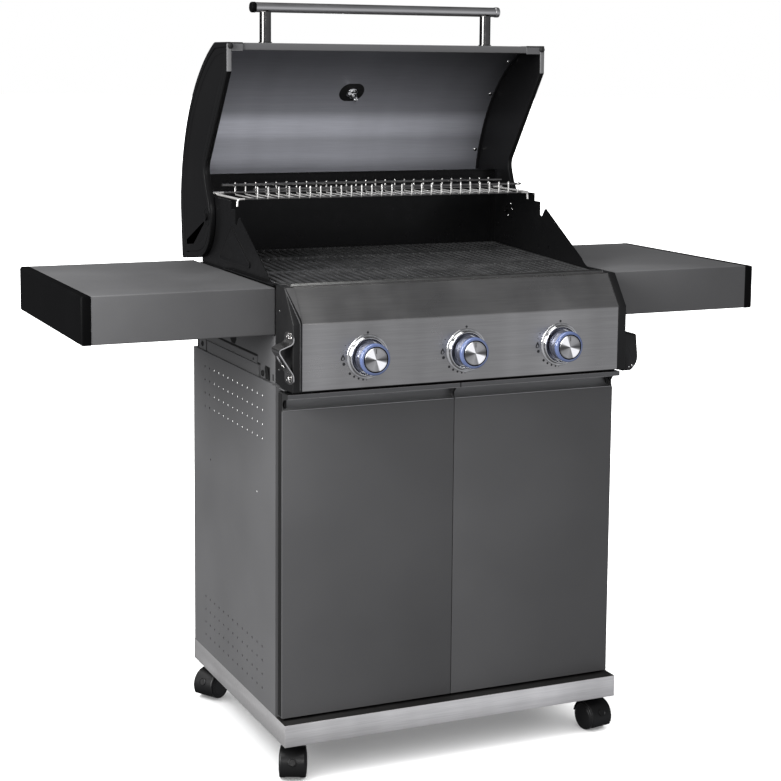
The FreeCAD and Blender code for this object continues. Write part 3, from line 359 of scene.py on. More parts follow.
# A lighter copy of the black paint for the front edge of each lid end: painted highlight.
LID_END_EDGE_LIT = powder_coat("lid_end_edge_painted_highlight", (0.200, 0.200, 0.204), 0.42)
CAP_PLASTIC = plastic("black_cap_plastic", (0.0030, 0.0030, 0.0032), 0.46, 0.12, 1400, 0.06)
TYRE = plastic("grey_tyre", (0.060, 0.060, 0.062), 0.6, 0.3, 800)
RUBBER = plastic("black_rubber", (0.010, 0.010, 0.010), 0.7, 0.4, 900)
CERAMIC = plastic("glazed_ceramic", (0.80, 0.79, 0.75), 0.2, 0.05)
INK = printed("black_ink")
DIAL_WHITE = printed("dial_white", (0.75, 0.75, 0.73))
DIAL_RED = printed("dial_red", (0.45, 0.03, 0.02))


# ---- Mesh helpers ------------------------------------------------------------------------
def finish_piece(name, bm, materials, body, nodes=(), sharp=35):
    """Turn a bmesh into a piece that rides on a body and stands for some CAD nodes."""
    bmesh.ops.recalc_face_normals(bm, faces=bm.faces)
    mesh = bpy.data.meshes.new(name)
    bm.to_mesh(mesh)
    bm.free()
    for material in materials if isinstance(materials, (list, tuple)) else [materials]:
        mesh.materials.append(material)
    mesh.polygons.foreach_set("use_smooth", [True] * len(mesh.polygons))
    mesh.set_sharp_from_angle(angle=math.radians(sharp))
    piece = bpy.data.objects.new(name, mesh)
    bpy.context.scene.collection.objects.link(piece)
    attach(piece, body)
    if nodes:
        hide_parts(*nodes)
    return piece


def spokes(side, other, count):
    """Unit vectors round an axis."""
    turns = (2 * math.pi * index / count for index in range(count))
    return [side * math.cos(angle) + other * math.sin(angle) for angle in turns]


def join_rows(bm, rows, material=0):
    """Faces between each closed row of vertices and the next."""
    for first, second in zip(rows, rows[1:]):
        for index in range(len(first)):
            after = (index + 1) % len(first)
            face = bm.faces.new([first[index], first[after], second[after], second[index]])
            face.material_index = material


def close_rows(bm, rows, material=0):
    """A closed body from rows of vertices, capped at both ends."""
    join_rows(bm, rows, material)
    for row in (rows[0], rows[-1]):
        bm.faces.new(row).material_index = material


def bend(before, here, after, reach, share, steps):
    """Points of the soft bend that takes the place of a corner."""
    reach = min(reach, (before - here).length / share, (after - here).length / share)
    start = here + (before - here).normalized() * reach
    stop = here + (after - here).normalized() * reach
    ways = [step / steps for step in range(steps + 1)]
    return [start * (1 - t) ** 2 + here * (2 * t * (1 - t)) + stop * t ** 2 for t in ways]


def lathe(bm, origin, direction, profile, segments=64, material=0):
    """Turn a profile of (distance along, radius) about an axis, with UVs round and along it."""
    uv = bm.loops.layers.uv.verify()
    direction = Vector(direction).normalized()
    side = direction.orthogonal().normalized()
    other = direction.cross(side)
    rings = []
    for along, radius in profile:
        centre = origin + direction * (along * MM)
        around = spokes(side, other, segments)[:1 if radius < 1e-6 else segments]
        rings.append([bm.verts.new(centre + spoke * (radius * MM)) for spoke in around])
    for row, (first, second) in enumerate(zip(rings, rings[1:])):
        for index in range(segments):
            after = (index + 1) % segments
            corners = [(first[index % len(first)], index, row), (first[after % len(first)], index + 1, row),
                       (second[after % len(second)], index + 1, row + 1),
                       (second[index % len(second)], index, row + 1)]
            kept = [c for n, c in enumerate(corners) if c[0] is not corners[n - 1][0]]
            if len(kept) < 3:
                continue
            face = bm.faces.new([c[0] for c in kept])
            face.material_index = material
            for loop, (_, u, v) in zip(face.loops, kept):
                loop[uv].uv = (u / segments, v / (len(profile) - 1))


def extrude(bm, outline, offset, material=0):
    """Prism from a flat outline, with UVs along the offset."""
    uv = bm.loops.layers.uv.verify()
    low = [bm.verts.new(p) for p in outline]
    high = [bm.verts.new(p + offset) for p in outline]
    made = [bm.faces.new(low), bm.faces.new(list(reversed(high)))]
    count = len(outline)
    for index in range(count):
        after = (index + 1) % count
        face = bm.faces.new([low[index], high[index], high[after], low[after]])
        for loop, (u, v) in zip(face.loops, ((0, 0), (1, 0), (1, 1), (0, 1))):
            loop[uv].uv = (u, (index + v) / count)
        made.append(face)
    for face in made[:2]:
        for loop in face.loops:
            loop[uv].uv = (loop.vert.co.x, loop.vert.co.z)
    for face in made:
        face.material_index = material


def rounded(points, radius, steps=5):
    """Closed 2-D outline with its corners rounded. radius is one number or one per corner."""
    out = []
    count = len(points)
    for index in range(count):
        here = Vector(points[index])
        before = Vector(points[index - 1])
        after = Vector(points[(index + 1) % count])
        reach = radius[index] if isinstance(radius, (list, tuple)) else radius
        towards_before = (before - here).normalized()
        towards_after = (after - here).normalized()
        half = math.acos(max(-1, min(1, towards_before.dot(towards_after)))) / 2
        if reach < 1e-6 or half < 0.05 or half > math.pi / 2 - 0.02:
            out.append(here)
            continue
        cut = min(reach / math.tan(half), (before - here).length / 2.01, (after - here).length / 2.01)
        true_radius = cut * math.tan(half)
        middle = (towards_before + towards_after).normalized()
        centre = here + middle * (true_radius / math.sin(half))
        start = here + towards_before * cut - centre
        stop = here + towards_after * cut - centre
        turn = start.angle_signed(stop)
        for step in range(steps + 1):
            angle = -turn * step / steps
            out.append(centre + Vector((start.x * math.cos(angle) - start.y * math.sin(angle),
                                        start.x * math.sin(angle) + start.y * math.cos(angle))))
    return out


def plate_yz(bm, points, radius, x0, x1, material=0, steps=5):
    """Plate lying in YZ between two x positions, from an outline of (y, z)."""
    outline = [at(x0, p.x, p.y) for p in rounded(points, radius, steps)]
    extrude(bm, outline, RIGHT * ((x1 - x0) * MM), material)


def block(bm, x0, x1, y0, y1, z0, z1, material=0):
    outline = [at(x0, y0, z0), at(x0, y1, z0), at(x0, y1, z1), at(x0, y0, z1)]
    extrude(bm, outline, RIGHT * ((x1 - x0) * MM), material)


def ease_edges(bm, width, segments=2, angle=30):
    """Round every sharp edge a little."""
    edges = [e for e in bm.edges if len(e.link_faces) == 2
             and e.calc_face_angle(0) > math.radians(angle)]
    bmesh.ops.bevel(bm, geom=edges, offset=width * MM, segments=segments, profile=0.5,
                    affect="EDGES", clamp_overlap=True)


def wire(bm, points, radius, bend_reach=0.0, sides=10, material=0):
    """Round wire along points, with its inner corners bent round."""
    path = [points[0]]
    for before, here, after in zip(points, points[1:], points[2:]):
        path += bend(before, here, after, bend_reach * MM, 2.1, 6)
    path.append(points[-1])
    clean = [path[0]] + [b for a, b in zip(path, path[1:]) if (b - a).length > 1e-6]
    rings = []
    side = None
    for index, point in enumerate(clean):
        before = clean[max(0, index - 1)]
        after = clean[min(len(clean) - 1, index + 1)]
        forward = (after - before).normalized()
        side = forward.orthogonal() if side is None else side - forward * side.dot(forward)
        side.normalize()
        around = spokes(side, forward.cross(side), sides)
        rings.append([bm.verts.new(point + spoke * (radius * MM)) for spoke in around])
    close_rows(bm, rings, material)


def screw(bm, x, y, z, direction, radius=4.0, height=2.2, material=0):
    """Domed screw head with a cross recess."""
    head = [(0, radius), (height * 0.45, radius * 0.96), (height * 0.8, radius * 0.72),
            (height, radius * 0.42), (height * 0.96, radius * 0.22), (height * 0.35, radius * 0.16),
            (height * 0.35, 0)]
    lathe(bm, at(x, y, z), direction, head, 20, material)


def softened(node, body, material, width=0.8, segments=2, sharp=35):
    """The CAD node's own shape with its edges eased, so that they catch the light."""
    bm = bmesh.new()
    bm.from_mesh(frame["nodes"][node].data)
    bmesh.ops.remove_doubles(bm, verts=bm.verts, dist=1e-6)
    bmesh.ops.dissolve_limit(bm, angle_limit=math.radians(1.0), verts=bm.verts, edges=bm.edges)
    if width:
        ease_edges(bm, width, segments)
    bm.loops.layers.uv.verify()
    return finish_piece(node + "_eased", bm, material, body, (node,), sharp)


def paint(node, material):
    """Give a CAD node that stays visible its material."""
    data = frame["nodes"][node].data
    data.materials.clear()
    data.materials.append(material)
    data.polygons.foreach_set("use_smooth", [True] * len(data.polygons))
    data.set_sharp_from_angle(angle=math.radians(30))


def flat(*pairs):
    return [Vector(pair) for pair in pairs]


def arc_points(first, middle, last, steps):
    """Points of a circle's arc through three (y, z) points, without the first."""
    (ax, ay), (bx, by), (cx, cy) = first, middle, last
    d = 2 * (ax * (by - cy) + bx * (cy - ay) + cx * (ay - by))
    a2, b2, c2 = ax * ax + ay * ay, bx * bx + by * by, cx * cx + cy * cy
    ox = (a2 * (by - cy) + b2 * (cy - ay) + c2 * (ay - by)) / d
    oy = (a2 * (cx - bx) + b2 * (ax - cx) + c2 * (bx - ax)) / d
    radius = math.hypot(ax - ox, ay - oy)
    angles = [math.atan2(y - oy, x - ox) for x, y in (first, middle, last)]
    turn = (angles[2] - angles[0]) % (2 * math.pi)
    if (angles[1] - angles[0]) % (2 * math.pi) > turn:
        turn -= 2 * math.pi
    return [Vector((ox + radius * math.cos(angles[0] + turn * k / steps),
                    oy + radius * math.sin(angles[0] + turn * k / steps))) for k in range(1, steps + 1)]


def trace(start, steps, pieces=16):
    """Dense (y, z) outline from steps of (y, z), or (y, z, y, z) for an arc by a middle point."""
    points = [Vector(start)]
    for step in steps:
        if len(step) == 2:
            points.append(Vector(step))
        else:
            points += arc_points(points[-1], step[:2], step[2:], pieces)
    return points


def inset(points, distance):
    """Outline moved inwards by a distance, corners mitred."""
    area = sum(a.x * b.y - b.x * a.y for a, b in zip(points, points[1:] + points[:1]))
    turn = 1 if area > 0 else -1
    out = []
    for index, here in enumerate(points):
        before = (here - points[index - 1]).normalized()
        after = (points[(index + 1) % len(points)] - here).normalized()
        normal = Vector((-before.y - after.y, before.x + after.x)) * turn
        normal.normalize()
        lean = max(0.5, normal.dot(Vector((-after.y, after.x)) * turn))
        out.append(here + normal * (distance / lean))
    count = len(points)
    folded = [(out[(k + 1) % count] - out[k]).dot(points[(k + 1) % count] - points[k]) < 0
              for k in range(count)]
    for start in range(count):
        if folded[start] and not folded[start - 1]:
            stop = start
            while folded[stop % count]:
                stop += 1
            middle = (out[start] + out[stop % count]) / 2
            for k in range(start, stop + 1):
                out[k % count] = middle
    return out


def rings_panel(bm, rings, material=0):
    """Close a panel from rings of points, joined in order and capped at both ends."""
    close_rows(bm, [[bm.verts.new(p) for p in ring] for ring in rings], material)
    bmesh.ops.remove_doubles(bm, verts=bm.verts, dist=1e-6)


def band(bm, section, centre, axis, front, start, stop, steps=24, material=0):
    """Closed section of (along axis, radius) swept about an axis, between angles from front to up."""
    rows = []
    for step in range(steps + 1):
        angle = math.radians(start + (stop - start) * step / steps)
        spoke = front * math.cos(angle) + UP * math.sin(angle)
        rows.append([bm.verts.new(centre + axis * (a * MM) + spoke * (r * MM)) for a, r in section])
    close_rows(bm, rows, material)


def sheet_along_x(bm, points, x0, x1, material=0):
    """Folded sheet: a closed (y, z) section drawn along X, with UVs for the brushed grain."""
    extrude(bm, [at(x0, p[0], p[1]) for p in points], RIGHT * ((x1 - x0) * MM), material)


# ---- Nodes whose CAD shape is kept -------------------------------------------------------
for name, material in (("base_cross_channels", ZINC), ("caster_stems", ZINC),
                       ("cabinet_cross_rails", SIDE_PAINT), ("support_plates", SIDE_PAINT),
                       ("door_magnets", BLACK_PLASTIC), ("hinge_pins", BLACK_PAINT), ("gas_valves", BRASS),
                       ("gas_manifold", ZINC), ("burners", STAINLESS), ("flame_tamers", STAINLESS),
                       ("igniters", CERAMIC), ("firebox_bottom", ZINC), ("grease_tray", ZINC),
                       ("valve_stem_left", BRASS), ("valve_stem_middle", BRASS),
                       ("valve_stem_right", BRASS), ("cabinet_back_panel", SIDE_PAINT),
                       ("cabinet_side_left", SIDE_PAINT), ("cabinet_side_right", SIDE_PAINT),
                       ("firebox_side_left", ENAMEL), ("firebox_side_right", ENAMEL),
                       ("firebox_back", ENAMEL), ("firebox_front", STAINLESS)):
    paint(name, material)
tray = softened("base_tray", "cabinet", (STAINLESS_BASE_LIT, TRAY_TOP_SHADED), 0.9)
# Faces that look up take the darkened copy: painted shade on the tray's top.
for polygon in tray.data.polygons:
    polygon.material_index = int(polygon.normal.z > 0.7)
softened("panel_ends", "cabinet", END_PLASTIC, 1.6, 3)
softened("shelf_caps", "cabinet", CAP_PLASTIC, 1.4, 3)
for side in ("left", "right"):
    softened("door_" + side, "door_" + side, DOOR_PAINT, 2.4, 3)
    softened("shelf_" + side, "cabinet", SHELF_PAINT, 0.6)
    softened("grate_" + side, "grate_" + side, IRON, 1.3, 2)


# ---- Casters -----------------------------------------------------------------------------
def caster(where):
    """Twin wheels with grey tyres and domed covers, under a drum-shaped hood."""
    joints = frame["record"]["behaviour"]["joints"]
    roll = next(j for j in joints if j["name"] == "wheels_" + where + "_roll")
    swivel = next(j for j in joints if j["name"] == "caster_" + where + "_swivel")
    centre = Vector(roll["pos_m"])
    axis = Vector(roll["axis"]).normalized()
    front = centre - Vector(swivel["pos_m"])
    front.z = 0
    front.normalize()
    wheel = bmesh.new()
    for way in (-1, 1):
        lathe(wheel, centre, axis * way, [(11.8, 2.0), (11.8, 22.6), (12.4, 24.4), (13.2, 25.0),
                                          (20.0, 25.0), (21.0, 24.6)], 48, 1)
        lathe(wheel, centre, axis * way, [(21.0, 24.6), (22.0, 24.3), (22.8, 23.2), (23.2, 20.2),
                                          (22.9, 19.6), (23.5, 18.8), (24.1, 12.0), (24.3, 0)], 48, 0)
    lathe(wheel, centre, axis, [(-13, 0), (-13, 3), (13, 3), (13, 0)], 16, 0)
    finish_piece("caster_twin_wheel_" + where, wheel, [CASTER_PLASTIC, TYRE], "wheels_" + where,
                 ("caster_wheels_" + where,), 30)
    hood = bmesh.new()
    cover = [(-22, 26.6), (-22, 28.2), (-21.2, 28.9), (-19, 29), (19, 29), (21.2, 28.9), (22, 28.2),
             (22, 26.6)]
    band(hood, cover, centre, axis, front, -33.5, 172, 36)
    web = [centre - axis * (11 * MM) + (front * math.cos(a) + UP * math.sin(a)) * (28.6 * MM)
           for a in (math.radians(-33.5 + 247 * k / 36) for k in range(37))]
    extrude(hood, web, axis * (22 * MM))
    stem = Vector(swivel["pos_m"])
    lathe(hood, Vector((stem.x, stem.y, 0)), UP, [(34, 0), (34, 9), (62.2, 9), (63.4, 8), (63.4, 4.1),
                                                  (50, 4.1), (50, 0)], 24)
    lathe(hood, centre + front * (27.6 * MM) + UP * (11 * MM), front + UP * 0.45,
          [(0, 7), (1.0, 6.8), (1.2, 6.0), (0.4, 5.4), (0.2, 0)], 20)
    finish_piece("caster_drum_hood_" + where, hood, CASTER_PLASTIC, "caster_" + where,
                 ("caster_hood_" + where,), 40)


for where in ("front_left", "front_right", "rear_left", "rear_right"):
    caster(where)


# ---- Doors' pull profiles ----------------------------------------------------------------
def door_grip(side, x0, x1):
    """Flat lip with bright folded edges over a dished lower band; the lip is a darkened copy of the
    stainless, painted shade.
    """
    bm = bmesh.new()
    lip = [(0.9, 664.4), (0.5, 665.0), (0.5, 671.6), (0.9, 672.2), (43.4, 672.4), (44.6, 671.2),
           (44.6, 656.0), (43.6, 656.0), (43.6, 669.8), (42.6, 670.6), (2.2, 670.6), (1.6, 669.8),
           (1.6, 665.0), (1.3, 664.4)]
    sheet_along_x(bm, lip, x0, x1, 1)
    for z in (664.6, 671.9):
        wire(bm, [at(x0, 0.8, z), at(x1, 0.8, z)], 0.65, 0, 8, 0)
    dish = flat((43.4, 668.0), (20.0, 665.0), (22.0, 662.0), (40.0, 658.0))
    dish += arc_points((40.0, 658.0), (35.0, 648.5), (26.5, 641.6), 10)
    dish += flat((25.6, 641.2), (25.6, 640.4), (43.4, 640.4))
    sheet_along_x(bm, dish, x0 + 0.6, x1 - 0.6, 2)
    end = [(1.0, 664.6), (1.0, 671.6), (42.8, 671.6), (42.8, 641.0), (26.0, 641.0), (30.0, 650.0),
           (22.0, 660.0)]
    for x in (x0 + 0.2, x1 - 1.4):
        sheet_along_x(bm, end, x, x + 1.2, 1)
    finish_piece("door_grip_profile_" + side, bm, [STAINLESS, GRIP_LIP_SHADED, GRIP_DISH], "door_" + side,
                 ("door_grip_" + side,), 25)


door_grip("left", -319.5, -0.8)
door_grip("right", 0.8, 319.5)


# ---- Control panel -----------------------------------------------------------------------
FASCIA_Y = -18.6
FASCIA_HALF = 301.2
KNOB_NAMES = ("left", "middle", "right")


def knob_centre(name):
    low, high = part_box("knob_" + name)
    return Vector(((low.x + high.x) / 2, at(0, FASCIA_Y, 0).y, (low.z + high.z) / 2))


def fascia():
    """Folded stainless panel with a soft bend between its face and its slope."""
    outline = [(FASCIA_Y, 679.8), (FASCIA_Y, 792.6), (22.4, 848.1), (38.4, 848.1), (38.4, 846.9),
               (23.0, 846.9), (FASCIA_Y + 1.2, 792.1), (FASCIA_Y + 1.2, 681.0), (40.0, 681.0),
               (40.0, 679.8)]
    radii = [1.6, 7.0, 3.0, 0, 0, 1.8, 5.8, 0.6, 0, 0]
    bm = bmesh.new()
    sheet_along_x(bm, rounded(outline, radii, 8), -FASCIA_HALF, FASCIA_HALF)
    finish_piece("control_panel_sheet", bm, STAINLESS_FASCIA, "cabinet",
                 ("control_panel",), 40)
    wing = bmesh.new()
    lift = Vector((0, -0.804, 0.594)) * MM
    corners = [at(-FASCIA_HALF - out, y, z) + lift * (0.2 + rise)
               for out, y, z, rise in ((-0.5, -14.0, 798.8, 0.3), (-0.5, 22.4, 848.1, 0.7),
                                       (14.9, 22.4, 848.1, 1.1), (0.2, -14.0, 798.8, 0.8))]
    extrude(wing, corners, lift * 0.5)
    finish_piece("control_panel_wing", wing, STAINLESS_FASCIA, "cabinet", (), 40)
    beads = bmesh.new()
    wire(beads, [at(-304.6, FASCIA_Y - 0.4, 682.0), at(-304.6, FASCIA_Y - 0.4, 794.0),
                 at(-317.0, 20.5, 847.2)], 1.5, 6, 10)
    finish_piece("control_panel_bead", beads, BLACK_PLASTIC, "cabinet", (), 40)


def ring_shape(bm, outer, inner, depth):
    """Flat ring between two closed outlines, with a small thickness towards -Y."""
    offset = Vector((0, -depth * MM, 0))
    loops = [[bm.verts.new(p + shift) for p in outline]
             for outline, shift in ((outer, Vector()), (outer, offset), (inner, offset), (inner, Vector()))]
    join_rows(bm, loops + loops[:1])


def flame_outline(centre, width, height, steps=22):
    """Drop with a pointed top leaning a little to one side."""
    points = []
    for step in range(steps):
        angle = 2 * math.pi * step / steps
        swell = math.sin(angle / 2) ** 1.6
        x = math.sin(angle) * swell * width * 0.72 + 0.12 * width * math.cos(angle) ** 3
        z = math.cos(angle) * height / 2
        points.append(centre + Vector((x, 0, z)) * MM)
    return points


def fascia_marks():
    """Printed dots round each knob from off to low, and a flame at full."""
    bm = bmesh.new()
    dots = ((0, 41, 2.1), (-43.2, -10.2, 2.7), (-32.3, -26.7, 2.3), (-24.5, -32.2, 2.0),
            (-16.4, -36.1, 1.8), (-8.2, -38.4, 1.6))
    dashes = ((-40.5, 21.0, 2.6, 1.2), (-44.7, 12.4, 1.2, 1.2), (-1.8, -38.7, 0.9, 3.6))
    for name in KNOB_NAMES:
        centre = knob_centre(name)
        for x, z, radius in dots:
            place = centre + Vector((x, 0.02, z)) * MM
            lathe(bm, place, (0, -1, 0), [(0, radius), (0.14, radius), (0.16, 0)], 24)
        for x, z, wide, high in dashes:
            place = centre + Vector((x, 0, z)) * MM
            corners = [place + Vector((a * wide / 2, 0.02, b * high / 2)) * MM
                       for a, b in ((-1, -1), (1, -1), (1, 1), (-1, 1))]
            extrude(bm, corners, Vector((0, -0.16 * MM, 0)))
        flame = centre + Vector((-45.0, 0.02, 1.4)) * MM
        heart = flame + Vector((0.2, 0, -1.8)) * MM
        ring_shape(bm, flame_outline(flame, 7.4, 11.5), flame_outline(heart, 3.4, 5.6), 0.16)
    finish_piece("fascia_marks", bm, INK, "cabinet", (), 30)


def bezels():
    """Chromed dish round each knob: stepped skirt, rolled lip and a bright floor."""
    bm = bmesh.new()
    profile = [(0, 38.0), (0.7, 38.0), (1.1, 37.6), (1.4, 36.0), (2.0, 34.4), (3.6, 33.9), (5.4, 33.6),
               (6.4, 33.0), (6.9, 32.2), (7.0, 31.5), (6.8, 30.9), (6.2, 30.5), (5.2, 30.3), (2.2, 30.0),
               (1.4, 29.2), (1.2, 27.0), (1.2, 9.0), (0, 9.0)]
    for name in KNOB_NAMES:
        lathe(bm, knob_centre(name), (0, -1, 0), profile, 96)
    finish_piece("knob_bezel_rings", bm, CHROME, "cabinet", ("knob_bezels",), 50)


def knob(name):
    """Metallised body, clear lit collar and a spun cap with a pointer line."""
    bm = bmesh.new()
    centre = knob_centre(name)
    outwards = Vector((0, -1, 0))
    lathe(bm, centre, outwards, [(7.6, 9.0), (7.6, 24.6), (8.0, 25.6), (9.0, 26.0), (18.0, 25.9),
                                 (25.6, 25.5), (27.0, 25.2)], 96, 0)
    lathe(bm, centre, outwards, [(27.0, 25.2), (27.5, 26.4), (28.4, 27.0), (31.0, 27.0), (33.2, 26.6),
                                 (34.6, 25.4), (35.2, 23.6), (35.2, 22.2)], 96, 1)
    lathe(bm, centre, outwards, [(35.2, 22.2), (34.4, 21.6), (33.9, 21.2), (33.9, 20.3)], 96, 2)
    lathe(bm, centre, outwards, [(33.9, 20.3), (35.6, 20.2), (36.2, 19.8), (36.55, 19.0), (36.45, 16.0),
                                 (36.35, 10.0), (36.3, 4.0), (36.3, 0)], 128, 3)
    line = [centre + Vector((x, -36.2, z)) * MM
            for x, z in ((-0.45, 10.5), (0.45, 10.5), (0.45, 18.8), (-0.45, 18.8))]
    extrude(bm, line, Vector((0, -0.42 * MM, 0)), 2)
    finish_piece("knob_turned_" + name, bm, [KNOB_SHELL, RING, CAP_PLASTIC, SPUN_PAINTED_GLINTS], "knob_" + name,
                 ("knob_" + name,), 38)


fascia()
fascia_marks()
bezels()
for name in KNOB_NAMES:
    knob(name)


# ---- Fittings on the ends of the control panel -------------------------------------------
END_X = 318.0


def opener():
    """Wide bent strip with rounded ends, bowed out round a slot for the cap's rim."""
    bm = bmesh.new()
    x = -END_X - 0.2
    corners = flat((x, 779.0), (x, 761.5), (x - 23.6, 752.4), (x - 23.9, 746.0), (x - 1.0, 710.0),
                   (x, 706.0), (x, 691.0))
    path = [corners[0]]
    for before, here, after in zip(corners, corners[1:], corners[2:]):
        path += bend(before, here, after, 5.0, 2.2, 4)
    path.append(corners[-1])
    dense = []
    for first, second in zip(path, path[1:]):
        parts = max(1, int((second - first).length / 2.0))
        dense += [first + (second - first) * (k / parts) for k in range(parts)]
    dense.append(path[-1])
    across, half, middle_y, tab = 16, 20.8, -1.0, 9.0
    top, bottom = corners[0].y, corners[-1].y
    rows = []
    for point in dense:
        short = max(0.0, tab - min(top - point.y, point.y - bottom))
        wide = max(3.0, half * math.sqrt(max(0.0, 1 - (short / tab) ** 2)))
        waist = 1 - 0.16 * math.sin(math.pi * (top - point.y) / (top - bottom)) ** 2
        rows.append([bm.verts.new(at(point.x, middle_y + wide * waist * (2 * k / across - 1), point.y))
                     for k in range(across + 1)])
    made = []
    for row, (first, second) in enumerate(zip(rows, rows[1:])):
        height = (dense[row].y + dense[row + 1].y) / 2
        for k in range(across):
            inset_k = 3 if 721 < height < 735 else 4
            if 718 < height < 738 and inset_k <= k < across - inset_k and dense[row].x < x - 3:
                continue
            made.append(bm.faces.new([first[k], first[k + 1], second[k + 1], second[k]]))
    bmesh.ops.recalc_face_normals(bm, faces=made)
    bmesh.ops.solidify(bm, geom=made, thickness=1.8 * MM)
    for z in (771.8, 699.0):
        screw(bm, x - 1.6, middle_y, z, (-1, 0, 0), 5.6, 2.6)
    finish_piece("bottle_opener_strip", bm, POLISHED, "cabinet",
                 ("bottle_opener",), 32)


def battery_box():
    """Moulded shell with a rounded nose, a raised rib and two bright screws."""
    bm = bmesh.new()
    outline = flat((END_X, 747.0), (END_X + 25.6, 740.8), (END_X + 29.3, 704.0))
    outline += arc_points((END_X + 29.3, 704.0), (END_X + 25.8, 686.0), (END_X + 15.0, 674.8), 8)
    outline += flat((END_X, 674.6))
    centre = sum(outline, Vector((0, 0))) / len(outline)
    rows = []
    for y, scale in ((-14.0, 0.90), (-13.0, 0.96), (-10.5, 0.995), (-7.0, 1.0), (30.0, 1.0),
                     (34.0, 0.98), (36.0, 0.93)):
        shrunk = [centre + (p - centre) * scale for p in outline]
        rows.append([at(max(END_X, p.x), y, p.y) for p in shrunk])
    rings_panel(bm, rows)
    wire(bm, [at(END_X + 6, -13.2, 722), at(END_X + 15, -13.4, 708), at(END_X + 20.5, -13.2, 690)],
         1.1, 10, 8)
    finish_piece("battery_box_shell", bm, BOX_PLASTIC, "cabinet",
                 ("light_battery_box",), 40)
    heads = bmesh.new()
    screw(heads, END_X + 18.5, -13.4, 684.0, (0.1, -1, 0), 2.4, 1.4)
    screw(heads, END_X + 12.0, -13.6, 682.0, (0.1, -1, 0), 1.6, 1.0)
    finish_piece("battery_box_screws", heads, POLISHED, "cabinet", (), 40)


def end_cover_screws():
    bm = bmesh.new()
    for way in (-1, 1):
        for y, z, radius in ((43.4, 807.8, 1.9), (46.0, 707.7, 1.7)):
            screw(bm, way * (END_X - 0.2), y, z, (way, 0, 0), radius, 1.0)
    finish_piece("end_cover_screws", bm, POLISHED, "cabinet", (), 40)


def shelf_hangers():
    """Pressed plate under each shelf: a slotted window, a standing ledge and two hooks over screws; dark
    sheets stand as painted shade behind the slots, under the ledge and in the holes.
    """
    for side, way in (("left", -1), ("right", 1)):
        bm = bmesh.new()

        def slab(near, far, y0, y1, z0, z1, material=0):
            block(bm, way * near, way * far, y0, y1, z0, z1, material)

        # A dark sheet behind the slots: painted shade.
        slab(315.6, 316.2, 66.0, 495.0, 679.0, 762.0, 1)
        for far, *extent in ((317.4, 159.0, 478.0, 717.4, 762.0), (317.4, 66.0, 91.0, 679.6, 762.0),
                             (317.4, 91.0, 152.6, 704.0, 762.0), (317.4, 117.0, 139.0, 681.0, 704.0),
                             (317.4, 152.6, 159.0, 717.4, 762.0), (319.8, 142.0, 426.0, 679.6, 701.0),
                             (317.2, 157.0, 478.0, 701.0, 713.0), (318.6, 437.0, 478.0, 679.6, 701.0)):
            slab(316.2, far, *extent)
        ease_edges(bm, 0.6, 2)
        # A dark notch beside the screw: painted shade.
        plate_yz(bm, [(92.0, 679.0), (99.0, 679.0), (107.0, 690.0), (115.0, 692.0), (116.5, 700.0),
                      (111.0, 705.0), (103.0, 702.0), (98.0, 692.0)], 2.0, way * 317.5, way * 318.0, 1)
        # A dark strip under the ledge: painted shadow.
        slab(317.6, 319.9, 144.0, 426.0, 676.6, 679.4, 1)
        for y, z in ((456.0, 691.2), (124.5, 689.4)):
            screw(bm, way * 318.4, y, z, (way, 0, 0), 5.6, 2.6, 1)
        # Dark slot, keyhole and round hole shapes: painted shade.
        slab(317.3, 317.7, 73.0, 78.0, 684.0, 695.0, 1)
        plate_yz(bm, [(266.0, 736.0), (298.0, 736.0), (298.0, 724.0), (290.0, 718.0), (274.0, 718.0),
                      (266.0, 726.0)], 2.0, way * 317.3, way * 317.8, 1)
        lathe(bm, at(way * 317.3, 176.0, 706.0), (way, 0, 0), [(0, 2.4), (0.4, 2.4), (0.4, 0)], 16, 1)
        finish_piece("shelf_hanger_" + side, bm, [SIDE_PAINT, DARK_PARTS_AND_SHADE], "cabinet",
                     ("shelf_brackets",) if side == "left" else (), 35)


def door_edge_shade_strips():
    """Thin black strip down the outer edge of each door: painted shade in the gap beside the cabinet's
    side.
    """
    for side, way in (("left", -1), ("right", 1)):
        low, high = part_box("door_" + side)
        edge = low.x if way < 0 else high.x
        bm = bmesh.new()
        y0, z0 = low.y + 4.5 * MM, low.z + 1.5 * MM
        corners = [Vector((edge - way * 0.4 * MM, y, z)) for y, z in
                   ((y0, z0), (high.y, z0), (high.y, high.z - 1.5 * MM), (y0, high.z - 1.5 * MM))]
        extrude(bm, corners, RIGHT * (way * 0.9 * MM))
        finish_piece("door_edge_seal_" + side, bm, DARK_PARTS_AND_SHADE, "door_" + side, (), 35)


opener()
battery_box()
end_cover_screws()
shelf_hangers()
door_edge_shade_strips()


# ---- Firebox fittings and warming rack ---------------------------------------------------
WALL_X = 311.0


